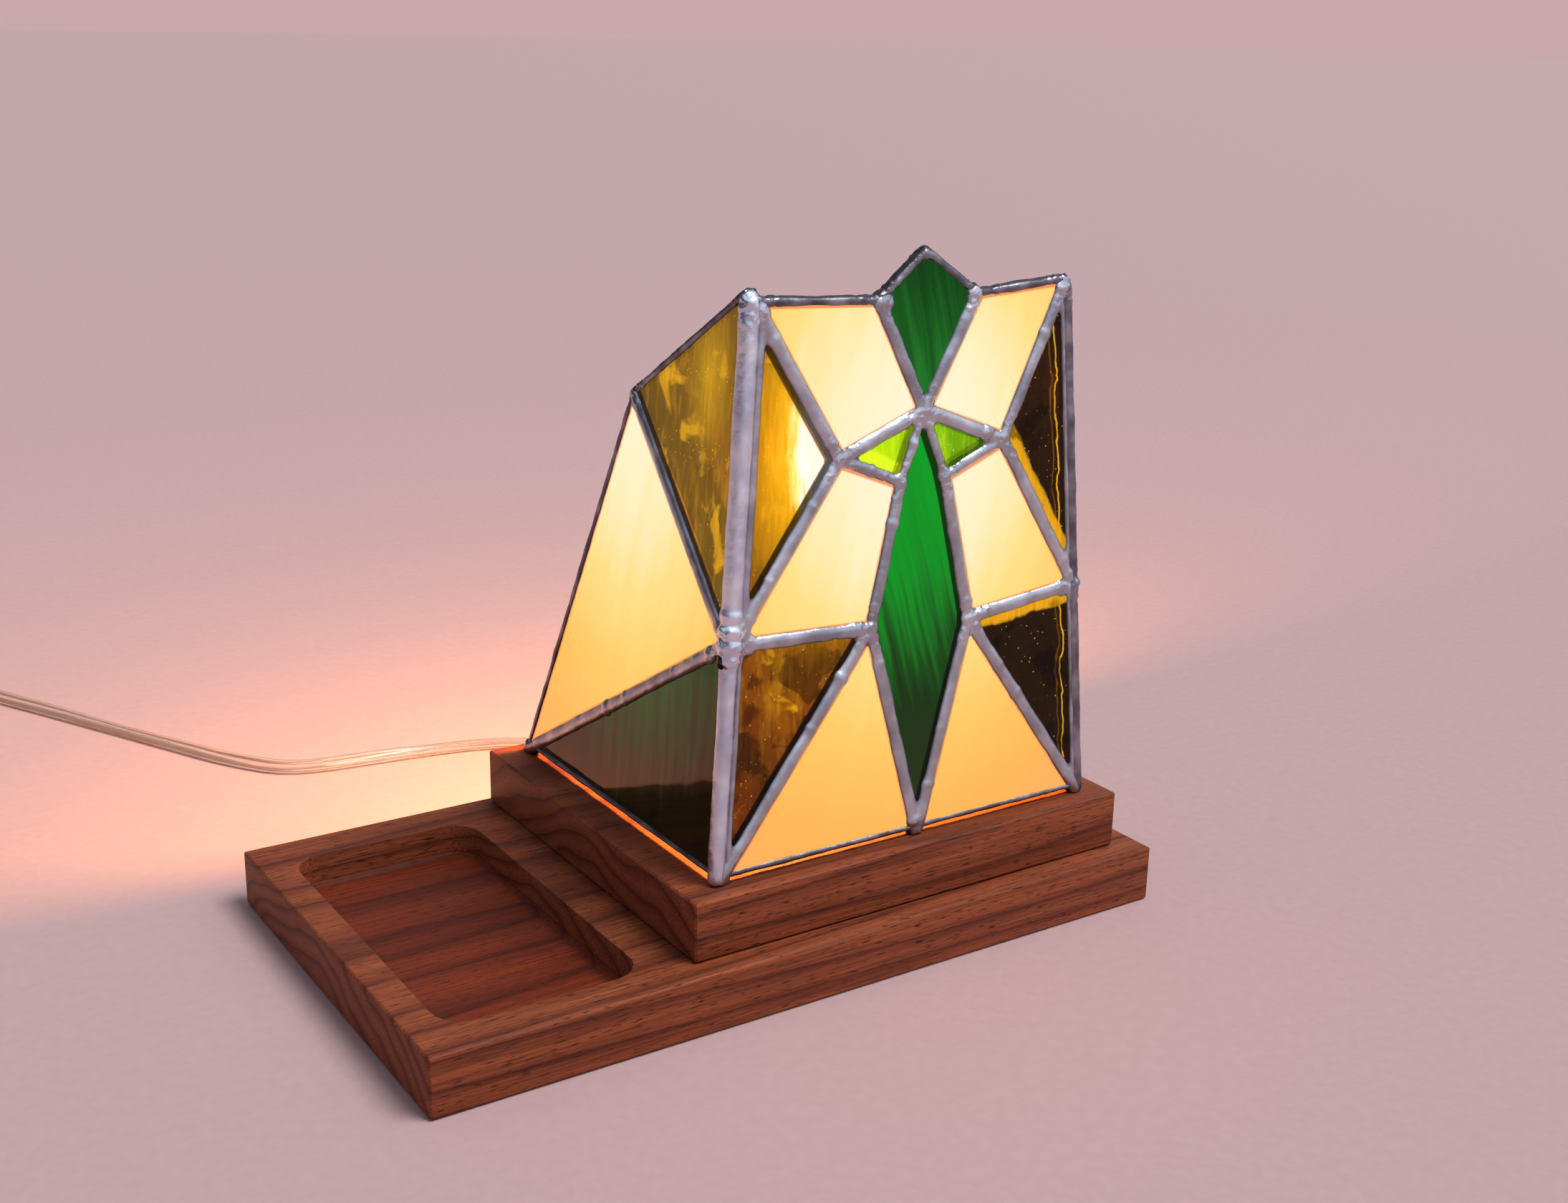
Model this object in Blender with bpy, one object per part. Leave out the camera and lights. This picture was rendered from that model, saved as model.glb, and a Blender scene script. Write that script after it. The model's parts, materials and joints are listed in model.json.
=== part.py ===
# Stained glass table lamp: two stacked walnut boards with a routed tray, a switched lampholder and its
# bulb on the upper board, and a loose copper-foil glass shade of three panels, open at the back and top.
# Metres, +Z up. The origin is the middle of the lower board's underside; +X points to the lamp's end and
# -Y is the front.

import math

import bmesh
import bpy
from mathutils import Matrix, Vector

# Fits
CLEAR = 0.0003  # gap between pieces that touch
SHAFT_PLAY = 0.0005  # gap round the switch shaft

# Walnut boards
BOARD_LENGTH = 0.262
BOARD_DEPTH = 0.153
BOARD_THICK = 0.019
PLINTH_LENGTH = 0.1645
PLINTH_DEPTH = 0.1415
PLINTH_THICK = 0.019
PLINTH_END_STEP = 0.0103  # ledge at the right end
PLINTH_FRONT_STEP = 0.0082  # ledge at the front
EDGE_EASE = 0.0006  # sanded edges

# Routed tray in the lower board
TRAY_END_WALL = 0.0106
TRAY_FRONT_WALL = 0.0130
TRAY_REAR_WALL = 0.0155
TRAY_PLINTH_WALL = 0.0140  # wood left between the tray and the plinth
TRAY_SUNK = 0.0110
TRAY_CORNER = 0.0100
TRAY_COVE = 0.0015  # small round where the wall meets the floor

# Screws that hold the plinth down, from below
SCREW_RADIUS = 0.0020
SCREW_HEAD_RADIUS = 0.0042
SCREW_HEAD_DEPTH = 0.0024
SCREW_RECESS = 0.0006
SCREW_BITE = 0.0105  # length in the plinth
SCREW_INSET = 0.0250  # from the plinth's ends

# Shade outline: heights are above the shade's foot
SHADE_GAP = 0.0005  # the loose shade's foot above the plinth
SHADE_FRONT_STEP = 0.0086  # plinth's front edge to the front panel
SHADE_SHIFT = 0.0004  # shade's middle, right of the plinth's middle
SHADE_FOOT_WIDTH = 0.1414
SHADE_TOP_WIDTH = 0.1145
SHADE_HEIGHT = 0.1729
SHADE_LEAN = 0.0066  # how far the front panel leans back over its height
SHADE_TOP_SKEW = 0.0011  # left top corner above the mean, right one below
FRONT_TOP_DIP = 0.0026  # front panel's left top corner, below the corner seam's top
SIDE_FOOT_DEPTH = 0.1251
SIDE_TOP_DEPTH = 0.0664
SIDE_REAR_HEIGHT = 0.1361

# Lead lines of the front panel, measured from the leaf's axis and the shade's foot
LEAF_SHIFT = 0.0029  # leaf's axis, right of the panel's middle
APEX_HEIGHT = 0.1829
SHOULDER_HALF = 0.0186
SHOULDER_SHIFT = 0.0012  # middle of the shoulders, right of the leaf's axis
SHOULDER_HEIGHT = 0.1694
CROSS_HEIGHT = 0.1350
WING_HALF = 0.0307
WING_HEIGHT = 0.1233
NECK_HALF = 0.0083
NECK_HEIGHT = 0.1144
WAIST_HALF = 0.0187
WAIST_HEIGHT = 0.0693
RAIL_HEIGHT = 0.0726  # where the waist seams reach the corner seams
WAIST_SKEW = 0.0012  # left half of the waist above the mean, right half below

# Glass and solder
GLASS_THICK = 0.0030
BEAD_RISE = 0.0011  # solder above the glass
BEAD_SLOPE = 0.0012  # how far a bead's flank runs in
BEAD_FOOT = 0.0003  # upright edge at the foot of a bead
SEAM_WIDTH = 0.0054
SEAM_WEB = 0.0012  # solder between two panes
EDGE_WALL = 0.0007  # solder round a free edge of glass
EDGE_LAP = 0.0026
REAR_LAP = 0.0019
CORNER_RADIUS = 0.0044
CORNER_KNOT = 0.0050  # corner seam where other seams run into it
CORNER_SET = 0.0028  # corner line to the glass
CORNER_CROWN = 0.0024  # corner seam above the glass
TIP_BLUNT = 0.0002  # least taken off a pane's tip at a corner seam
KNOT_REACH = 0.0090

# Lampholder, heights above the plinth
WASHER_RADIUS = 0.0140
WASHER_THICK = 0.0016
NIPPLE_RADIUS = 0.0048
NIPPLE_BORE = 0.0033
NIPPLE_TOP = 0.0080
NUT_FLATS = 0.0140
NUT_THICK = 0.0030
PLINTH_WEB = 0.0055  # wood left above the nut's pocket
POCKET_RADIUS = 0.0150
CAP_HUB_RADIUS = 0.0072
CAP_RADIUS = 0.0176
CAP_WALL = 0.0008
CAP_FLOOR = 0.0060
CAP_RIM = 0.0170
SHELL_RADIUS = 0.0164
SHELL_WALL = 0.0005
SHELL_FOOT = 0.0125
SHELL_TOP = 0.0490
LINER_WALL = 0.0008
LINER_TOP = 0.0465
BLOCK_FOOT = 0.0130
BLOCK_TOP = 0.0280
BLOCK_RADIUS = 0.0115
BLOCK_FLANGE = 0.0040
THREAD_RADIUS = 0.0132  # bulb's screw cap
THREAD_PLAY = 0.0004
THREAD_WALL = 0.0007
THREAD_TOP = 0.0465
CONTACT_RADIUS = 0.0040
CONTACT_RISE = 0.0030
TERMINAL_HEAD = 0.0026
TERMINAL_SHANK = 0.0014
TERMINAL_HEIGHT = 0.0185
TERMINAL_THICK = 0.0016
TERMINAL_DEPTH = 0.0040
WIRE_RADIUS = 0.0009

# Turn key of the switch, on an axis along +Y
KEY_HEIGHT = 0.0215
SHAFT_RADIUS = 0.0020
SHAFT_START = 0.0045
SHAFT_BORE_END = 0.0300
KEY_COLLAR = 0.0036
KEY_GAP = 0.0008
KEY_COLLAR_LENGTH = 0.0035
KEY_LENGTH = 0.0125
KEY_HALF_WIDTH = 0.0068
KEY_HALF_THICK = 0.0022

# Bulb, heights above its contact
BULB_RADIUS = 0.0300
BULB_LENGTH = 0.1100
BULB_WALL = 0.0009
BULB_NECK_RADIUS = 0.0124
BULB_NECK_FOOT = 0.0090
BULB_NECK_TOP = 0.0340
BULB_SLOPE = math.radians(38)
BULB_CAP_TOP = 0.0260
BULB_CAP_WALL = 0.0004
BULB_CAP_FOOT = 0.0045
BULB_CAP_SHOULDER = 0.0072
BULB_TIP_RADIUS = 0.0045
BULB_TIP_RISE = 0.0016
INSULATOR_RADIUS = 0.0090
STEM_FOOT = 0.0266
STEM_TOP = 0.0580
STEM_RADIUS = 0.0030
FILAMENT_WIRE = 0.0004
FILAMENT_HALF = 0.0090
FILAMENT_RISE = 0.0200

# Flat clear twin lead, drawn as a round tube of its width
CORD_WIDTH = 0.0055
LEAD_HEIGHT = -0.0130  # the lead in the grommet, below the plinth's top
LEAD_LOW = -0.0160  # the lead at its bend, below the plinth's top
CHANNEL_WIDTH = 0.0075
CHANNEL_HEIGHT = 0.0100
GROMMET_RADIUS = 0.0046
GROMMET_SUNK = 0.0100
GROMMET_FLANGE = 0.0058
GROMMET_FLANGE_THICK = 0.0015
GROMMET_NOSE = 0.0140
GROMMET_NOSE_RADIUS = 0.0037
CORD_STEP = 0.0120  # spacing of the points on the free lead
LEAD_STEP = 0.0050

# Route of the free lead on the table, from the grommet to the coil
CORD_ROUTE = [
    (0.0384, 0.1000, 0.0250), (0.0375, 0.1120, 0.0224), (0.0345, 0.1250, 0.0168),
    (0.0290, 0.1370, 0.0106), (0.0215, 0.1475, 0.0058), (0.0125, 0.1560, 0.0035),
    (0.0020, 0.1620, 0.0028), (-0.0120, 0.1666, 0.0028), (-0.0280, 0.1696, 0.0028),
    (-0.0450, 0.1716, 0.0028), (-0.0610, 0.1732, 0.0028), (-0.0740, 0.1757, 0.0028),
    (-0.0842, 0.1810, 0.0028), (-0.0922, 0.1908, 0.0028), (-0.1005, 0.2045, 0.0028),
    (-0.1100, 0.2230, 0.0028), (-0.1195, 0.2420, 0.0028), (-0.1290, 0.2605, 0.0028),
    (-0.1386, 0.2793, 0.0029), (-0.1485, 0.2980, 0.0033), (-0.1590, 0.3173, 0.0038),
]

# Coil of the spare lead, its tie and its plug
COIL_CENTRE = (-0.2070, 0.3180)
COIL_RADIUS = 0.0330  # middle of the turns
COIL_PITCH = 0.0061
COIL_TURNS = 2.96  # in each of the two layers
COIL_CLIMB = 0.5  # turns taken to climb a layer
COIL_START = math.radians(28)
LOOP_POINTS = 24
TIE_THICK = 0.0009
TIE_WIDTH = 0.0065
TIE_TURN = math.radians(265)
TAIL_LENGTH = 0.0450
PLUG_LENGTH = 0.0300
PLUG_HALF_WIDTH = 0.0118
PLUG_HALF_THICK = 0.0070
PLUG_RELIEF = 0.0200
PLUG_RELIEF_RADIUS = 0.0038
BLADE_SPACING = 0.0127
BLADE_THICK = 0.0015
BLADE_WIDTH = 0.0063
BLADE_LENGTH = 0.0160

ROUND = 24  # sides of a turned piece
SMALL_ROUND = 12

# Places worked out from the sizes above
PLINTH_FOOT_Z = BOARD_THICK + CLEAR
PLINTH_TOP_Z = PLINTH_FOOT_Z + PLINTH_THICK
PLINTH_RIGHT = BOARD_LENGTH / 2 - PLINTH_END_STEP
PLINTH_X = PLINTH_RIGHT - PLINTH_LENGTH / 2
PLINTH_FRONT = -BOARD_DEPTH / 2 + PLINTH_FRONT_STEP
PLINTH_Y = PLINTH_FRONT + PLINTH_DEPTH / 2
PLINTH_REAR = PLINTH_FRONT + PLINTH_DEPTH
SHADE_X = PLINTH_X + SHADE_SHIFT
SHADE_Y = PLINTH_FRONT + SHADE_FRONT_STEP
SHADE_Z = PLINTH_TOP_Z + SHADE_GAP
CONTACT_TOP = BLOCK_TOP + CLEAR + CONTACT_RISE
BULB_FOOT = CONTACT_TOP + CLEAR
CORD_RADIUS = CORD_WIDTH / 2
REAR_LOCAL = PLINTH_REAR - PLINTH_Y  # plinth's rear face, seen from the lampholder's axis
GROMMET_TIP = CLEAR + GROMMET_FLANGE_THICK + GROMMET_NOSE

for old in list(bpy.data.objects):
    bpy.data.objects.remove(old, do_unlink=True)


def make_material(name, colour, roughness, metallic=0.0, alpha=1.0):
    material = bpy.data.materials.new(name)
    material.use_nodes = True
    shader = material.node_tree.nodes["Principled BSDF"]
    shader.inputs["Base Color"].default_value = (*colour, 1.0)
    shader.inputs["Roughness"].default_value = roughness
    shader.inputs["Metallic"].default_value = metallic
    shader.inputs["Alpha"].default_value = alpha
    return material


WALNUT = make_material("walnut", (0.15, 0.045, 0.022), 0.5)
CREAM = make_material("cream_opal_glass", (1.0, 0.66, 0.30), 0.25)
AMBER = make_material("amber_cathedral_glass", (0.58, 0.25, 0.01), 0.08, alpha=0.6)
GREEN = make_material("green_streaky_glass", (0.004, 0.12, 0.02), 0.15)
LIME = make_material("lime_cathedral_glass", (0.36, 0.72, 0.01), 0.08, alpha=0.6)
DARK_GREEN = make_material("dark_green_streaky_glass", (0.03, 0.045, 0.012), 0.12)
SOLDER = make_material("tin_lead_solder", (0.30, 0.28, 0.31), 0.38, 1.0)
BRASS = make_material("brass", (0.60, 0.42, 0.16), 0.3, 1.0)
STEEL = make_material("zinc_plated_steel", (0.5, 0.5, 0.48), 0.35, 1.0)
PHENOLIC = make_material("black_phenolic", (0.012, 0.011, 0.010), 0.4)
FIBRE = make_material("fibre_board", (0.28, 0.20, 0.12), 0.8)
FROSTED = make_material("frosted_bulb_glass", (0.95, 0.88, 0.72), 0.5)
CLEAR_GLASS = make_material("clear_glass", (0.8, 0.82, 0.8), 0.05, alpha=0.4)
TUNGSTEN = make_material("tungsten", (0.25, 0.24, 0.23), 0.5, 1.0)
ALUMINIUM = make_material("aluminium", (0.72, 0.72, 0.71), 0.3, 1.0)
CLEAR_PVC = make_material("clear_pvc", (0.72, 0.60, 0.48), 0.2, alpha=0.6)
RUBBER = make_material("black_rubber", (0.02, 0.02, 0.02), 0.6)


def make_empty(name, matrix=None, parent=None):
    empty = bpy.data.objects.new(name, None)
    empty.parent = parent
    if matrix:
        empty.matrix_local = matrix
    bpy.context.scene.collection.objects.link(empty)
    return empty


def add_object(name, mesh_maker, material, parent=None, location=(0, 0, 0)):
    """One named piece from a bmesh, with its faces turned outwards."""
    bmesh.ops.recalc_face_normals(mesh_maker, faces=mesh_maker.faces)
    mesh = bpy.data.meshes.new(name)
    mesh_maker.to_mesh(mesh)
    mesh_maker.free()
    mesh.shade_smooth()
    mesh.set_sharp_from_angle(angle=math.radians(35))
    if material:
        mesh.materials.append(material)
    piece = bpy.data.objects.new(name, mesh)
    piece.parent = parent
    piece.location = location
    bpy.context.scene.collection.objects.link(piece)
    return piece


def add_cutter(name, mesh_maker, parent=None, location=(0, 0, 0)):
    cutter = add_object(name, mesh_maker, None, parent, location)
    cutter.hide_render = True
    cutter.display_type = "WIRE"
    return cutter


def cut(piece, cutter):
    difference = piece.modifiers.new("cut_" + cutter.name, "BOOLEAN")
    difference.operation = "DIFFERENCE"
    difference.solver = "EXACT"
    difference.object = cutter


def add_loft(maker, rings):
    """A closed skin over rings of equally many points, capped at both ends."""
    loops = [[maker.verts.new(point) for point in ring] for ring in rings]
    for near, far in zip(loops, loops[1:]):
        for i in range(len(near)):
            j = (i + 1) % len(near)
            maker.faces.new((near[i], near[j], far[j], far[i]))
    maker.faces.new(loops[0])
    maker.faces.new(loops[-1])


def add_turned(maker, outline, sides=ROUND, centre=(0, 0)):
    """A closed outline of (radius, height) points turned about a vertical axis."""
    loops = []
    for radius, height in outline:
        if radius == 0:
            loops.append([maker.verts.new((*centre, height))] * sides)
            continue
        turns = [2 * math.pi * i / sides for i in range(sides)]
        loops.append([
            maker.verts.new((centre[0] + radius * math.cos(a), centre[1] + radius * math.sin(a), height))
            for a in turns
        ])
    for k, near in enumerate(loops):
        far = loops[(k + 1) % len(loops)]
        for i in range(sides):
            j = (i + 1) % sides
            corners = list(dict.fromkeys((near[i], near[j], far[j], far[i])))
            if len(corners) > 2:
                maker.faces.new(corners)


def turned(outline, sides=ROUND):
    maker = bmesh.new()
    add_turned(maker, outline, sides)
    return maker


def add_block(maker, low, high, ease=0.0):
    """A box between two corners, with its edges eased."""
    made = bmesh.ops.create_cube(maker, size=1.0)["verts"]
    size = Vector(high) - Vector(low)
    bmesh.ops.scale(maker, vec=size, verts=made)
    bmesh.ops.translate(maker, vec=Vector(low) + size / 2, verts=made)
    if ease:
        edges = list({edge for vert in made for edge in vert.link_edges})
        bmesh.ops.bevel(maker, geom=edges, offset=ease, segments=1, affect="EDGES")


def block(low, high, ease=0.0):
    maker = bmesh.new()
    add_block(maker, low, high, ease)
    return maker


def rod_along_y(start, end, radius, height, sides=SMALL_ROUND):
    maker = bmesh.new()
    rings = []
    for y in (start, end):
        turns = [2 * math.pi * i / sides for i in range(sides)]
        rings.append([(radius * math.cos(a), y, height + radius * math.sin(a)) for a in turns])
    add_loft(maker, rings)
    return maker


def rounded_rectangle(half_x, half_y, corner, steps=6):
    points = []
    for quarter, (sx, sy) in enumerate(((1, 1), (-1, 1), (-1, -1), (1, -1))):
        for step in range(steps + 1):
            a = (quarter + step / steps) * math.pi / 2
            points.append((
                sx * (half_x - corner) + corner * math.cos(a),
                sy * (half_y - corner) + corner * math.sin(a),
            ))
    return points


def smooth_route(points, step):
    """Points about one step apart on a smooth curve through the route's own points."""
    knots = [Vector(p) for p in points]
    ends = [2 * knots[0] - knots[1], *knots, 2 * knots[-1] - knots[-2]]
    found = [knots[0]]
    for before, start, end, after in zip(ends, ends[1:], ends[2:], ends[3:]):
        parts = max(1, round((end - start).length / step))
        for i in range(1, parts + 1):
            t = i / parts
            found.append(0.5 * (
                2 * start + (end - before) * t + (2 * before - 5 * start + 4 * end - after) * t**2
                + (3 * start - before - 3 * end + after) * t**3
            ))
    return found


def add_tube(name, route, radius, material, parent=None, resolution=2):
    """A round tube with closed ends along a list of points."""
    curve = bpy.data.curves.new(name, "CURVE")
    curve.dimensions = "3D"
    curve.bevel_depth = radius
    curve.bevel_resolution = resolution
    curve.use_fill_caps = True
    spline = curve.splines.new("POLY")
    spline.points.add(len(route) - 1)
    for point, place in zip(spline.points, route):
        point.co = (*place, 1.0)
    curve.materials.append(material)
    tube = bpy.data.objects.new(name, curve)
    tube.parent = parent
    bpy.context.scene.collection.objects.link(tube)
    return tube


def screw_places():
    reach = PLINTH_LENGTH / 2 - SCREW_INSET
    return {"left": (PLINTH_X - reach, PLINTH_Y), "right": (PLINTH_X + reach, PLINTH_Y)}


def make_base_board():
    half_x, half_y = BOARD_LENGTH / 2, BOARD_DEPTH / 2
    board = add_object(
        "base_board", block((-half_x, -half_y, 0), (half_x, half_y, BOARD_THICK), EDGE_EASE), WALNUT
    )
    left = -half_x + TRAY_END_WALL
    right = PLINTH_X - PLINTH_LENGTH / 2 - TRAY_PLINTH_WALL
    front = -half_y + TRAY_FRONT_WALL
    rear = half_y - TRAY_REAR_WALL
    floor = BOARD_THICK - TRAY_SUNK
    span_x, span_y = (right - left) / 2, (rear - front) / 2
    tray = bmesh.new()
    levels = [(floor, TRAY_COVE), (floor + TRAY_COVE, 0), (BOARD_THICK + TRAY_COVE, 0)]
    add_loft(tray, [
        [
            ((left + right) / 2 + x, (front + rear) / 2 + y, z)
            for x, y in rounded_rectangle(span_x - inset, span_y - inset, TRAY_CORNER - inset)
        ]
        for z, inset in levels
    ])
    cut(board, add_cutter("tray_cutter", tray))
    holes = bmesh.new()
    sink = SCREW_HEAD_RADIUS + CLEAR
    for place in screw_places().values():
        add_turned(holes, [
            (0, -CLEAR), (sink, -CLEAR), (sink, SCREW_RECESS + CLEAR),
            (SCREW_RADIUS + CLEAR, SCREW_RECESS + SCREW_HEAD_DEPTH + CLEAR),
            (SCREW_RADIUS + CLEAR, BOARD_THICK + CLEAR), (0, BOARD_THICK + CLEAR),
        ], SMALL_ROUND, place)
    cut(board, add_cutter("board_screw_cutter", holes))


def make_plinth():
    low = (PLINTH_X - PLINTH_LENGTH / 2, PLINTH_FRONT, PLINTH_FOOT_Z)
    high = (PLINTH_RIGHT, PLINTH_REAR, PLINTH_TOP_Z)
    plinth = add_object("plinth", block(low, high, EDGE_EASE), WALNUT)
    pocket_top = PLINTH_TOP_Z - PLINTH_WEB
    hole = NIPPLE_RADIUS + CLEAR
    axis = turned([
        (0, PLINTH_FOOT_Z - CLEAR), (POCKET_RADIUS, PLINTH_FOOT_Z - CLEAR), (POCKET_RADIUS, pocket_top),
        (hole, pocket_top), (hole, PLINTH_TOP_Z + CLEAR), (0, PLINTH_TOP_Z + CLEAR),
    ])
    cut(plinth, add_cutter("nipple_cutter", axis, location=(PLINTH_X, PLINTH_Y, 0)))
    half = CHANNEL_WIDTH / 2
    channel = block(
        (PLINTH_X - half, PLINTH_Y + POCKET_RADIUS * 0.8, PLINTH_FOOT_Z - CLEAR),
        (PLINTH_X + half, PLINTH_REAR + CLEAR, PLINTH_FOOT_Z + CHANNEL_HEIGHT),
    )
    cut(plinth, add_cutter("lead_channel_cutter", channel))
    mouth = rod_along_y(
        REAR_LOCAL - GROMMET_SUNK - CLEAR, REAR_LOCAL + CLEAR, GROMMET_RADIUS + CLEAR, LEAD_HEIGHT
    )
    cut(plinth, add_cutter("grommet_cutter", mouth, location=(PLINTH_X, PLINTH_Y, PLINTH_TOP_Z)))
    pilots = bmesh.new()
    for place in screw_places().values():
        top = PLINTH_FOOT_Z + SCREW_BITE + CLEAR
        add_turned(pilots, [
            (0, PLINTH_FOOT_Z - CLEAR), (SCREW_RADIUS + CLEAR, PLINTH_FOOT_Z - CLEAR),
            (SCREW_RADIUS + CLEAR, top), (0, top),
        ], SMALL_ROUND, place)
    cut(plinth, add_cutter("pilot_cutter", pilots))


def make_base_screws():
    top = PLINTH_FOOT_Z + SCREW_BITE
    for end, place in screw_places().items():
        screw = turned([
            (0, SCREW_RECESS), (SCREW_HEAD_RADIUS, SCREW_RECESS),
            (SCREW_RADIUS, SCREW_RECESS + SCREW_HEAD_DEPTH), (SCREW_RADIUS, top - SCREW_RADIUS), (0, top),
        ], SMALL_ROUND)
        add_object(f"base_screw_{end}", screw, STEEL, None, (*place, 0))


def lean_at(height):
    return SHADE_LEAN * height / SHADE_HEIGHT


def half_width_at(height):
    return (SHADE_FOOT_WIDTH + (SHADE_TOP_WIDTH - SHADE_FOOT_WIDTH) * height / SHADE_HEIGHT) / 2


def front_point(across, height):
    return Vector((SHADE_X + across, SHADE_Y + lean_at(height), SHADE_Z + height))


def corner_point(side, height):
    return front_point(side * half_width_at(height), height)


def side_point(side, depth, height):
    return Vector((SHADE_X + side * half_width_at(height), SHADE_Y + depth, SHADE_Z + height))


def panel_matrix(origin, across, up):
    normal = across.cross(up).normalized()
    axes = Matrix((across, up, normal)).transposed().to_4x4()
    return Matrix.Translation(origin) @ axes


def crossing(line, other):
    """Where two lines of (place, direction) meet, or the other's place if they are one straight line."""
    bend = line[1].cross(other[1])
    if abs(bend) < 1e-4:
        return other[0]
    return line[0] + line[1] * ((other[0] - line[0]).cross(other[1]) / bend)


def inset_outline(edges, sets, less=0.0):
    """The outline with each edge moved in by its kind's distance; edges run anticlockwise."""
    inward = [Vector((-along.y, along.x)) for _, along, _ in edges]
    lines = [
        (start + inward[i] * (sets[kind] - less), along) for i, (start, along, kind) in enumerate(edges)
    ]
    for i, (start, along, kind) in enumerate(edges):
        if kind == "tip":
            sharp = crossing(lines[i - 1], lines[(i + 1) % len(lines)])
            reach = (sharp - start).dot(inward[i]) + TIP_BLUNT
            lines[i] = (start + inward[i] * max(reach, sets[kind] - less), along)
    return [crossing(lines[i - 1], line) for i, line in enumerate(lines)]


def pairs(names):
    return list(zip(names, names[1:] + names[:1]))


def anticlockwise(names, nodes):
    doubled = sum(nodes[a].cross(nodes[b]) for a, b in pairs(names))
    return names if doubled > 0 else names[::-1]


GLASS_SET = {
    "seam": SEAM_WEB / 2 + CLEAR, "free": EDGE_WALL + CLEAR, "rear": EDGE_WALL + CLEAR,
    "foot": EDGE_WALL + CLEAR, "corner": CORNER_SET, "tip": CORNER_SET,
}
BEAD_SET = {
    "seam": SEAM_WIDTH / 2, "free": EDGE_LAP, "rear": REAR_LAP, "foot": EDGE_LAP,
    "corner": CORNER_SET + CLEAR, "tip": CORNER_KNOT + BEAD_SLOPE,
}
PLATE_SET = {"free": 0.0, "rear": 0.0, "foot": 0.0, "corner": CORNER_KNOT + CLEAR}


def make_panel(name, frame, points, border, panes):
    """The panes of one flat panel, and the solder lattice that grips them.

    points gives each node's place, border the nodes round the outline with the kind of edge that follows
    each, and panes each pane's nodes and glass. An edge that isn't in the border is a seam.
    """
    back = frame.matrix_world.inverted()
    nodes = {key: (back @ point).to_2d() for key, point in points.items()}
    kinds = {frozenset(ends): kind for ends, (_, kind) in zip(pairs([key for key, _ in border]), border)}
    rim = anticlockwise([key for key, _ in border], nodes)
    corner_way = {}
    for start, end in pairs(rim):
        if kinds[frozenset((start, end))] == "corner":
            corner_way[start] = corner_way[end] = (nodes[end] - nodes[start]).normalized()

    def edges_of(names):
        """Start, direction and kind of each edge; a tip that meets a corner seam gets a short edge."""
        names = anticlockwise(names, nodes)
        meets = [kinds.get(frozenset(ends), "seam") for ends in pairs(names)]
        edges = []
        for i, (start, end) in enumerate(pairs(names)):
            if start in corner_way and "corner" not in (meets[i - 1], meets[i]):
                edges.append((nodes[start], corner_way[start], "tip"))
            edges.append((nodes[start], (nodes[end] - nodes[start]).normalized(), meets[i]))
        return edges

    half_glass = GLASS_THICK / 2
    half_plate = half_glass + BEAD_RISE
    pocket = half_glass + CLEAR
    spools = bmesh.new()
    for pane, (names, glass) in panes.items():
        solid = bmesh.new()
        edges = edges_of(names)
        shape = inset_outline(edges, GLASS_SET)
        add_loft(solid, [[(*p, z) for p in shape] for z in (-half_glass, half_glass)])
        add_object(pane, solid, glass, frame)
        seat = inset_outline(edges, GLASS_SET, CLEAR)
        opening = inset_outline(edges, BEAD_SET)
        flank = inset_outline(edges, BEAD_SET, BEAD_SLOPE)
        upper = [
            (seat, pocket), (opening, pocket), (opening, pocket + BEAD_FOOT), (flank, half_plate + CLEAR)
        ]
        lower = [(ring, -z) for ring, z in reversed(upper)]
        add_loft(spools, [[(*p, z) for p in ring] for ring, z in lower + upper])

    plate = bmesh.new()
    shape = inset_outline(edges_of(rim), PLATE_SET)
    add_loft(plate, [[(*p, z) for p in shape] for z in (-half_plate, half_plate)])
    cut(add_object(name, plate, SOLDER, frame), add_cutter(name + "_cutter", spools, frame))


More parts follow.
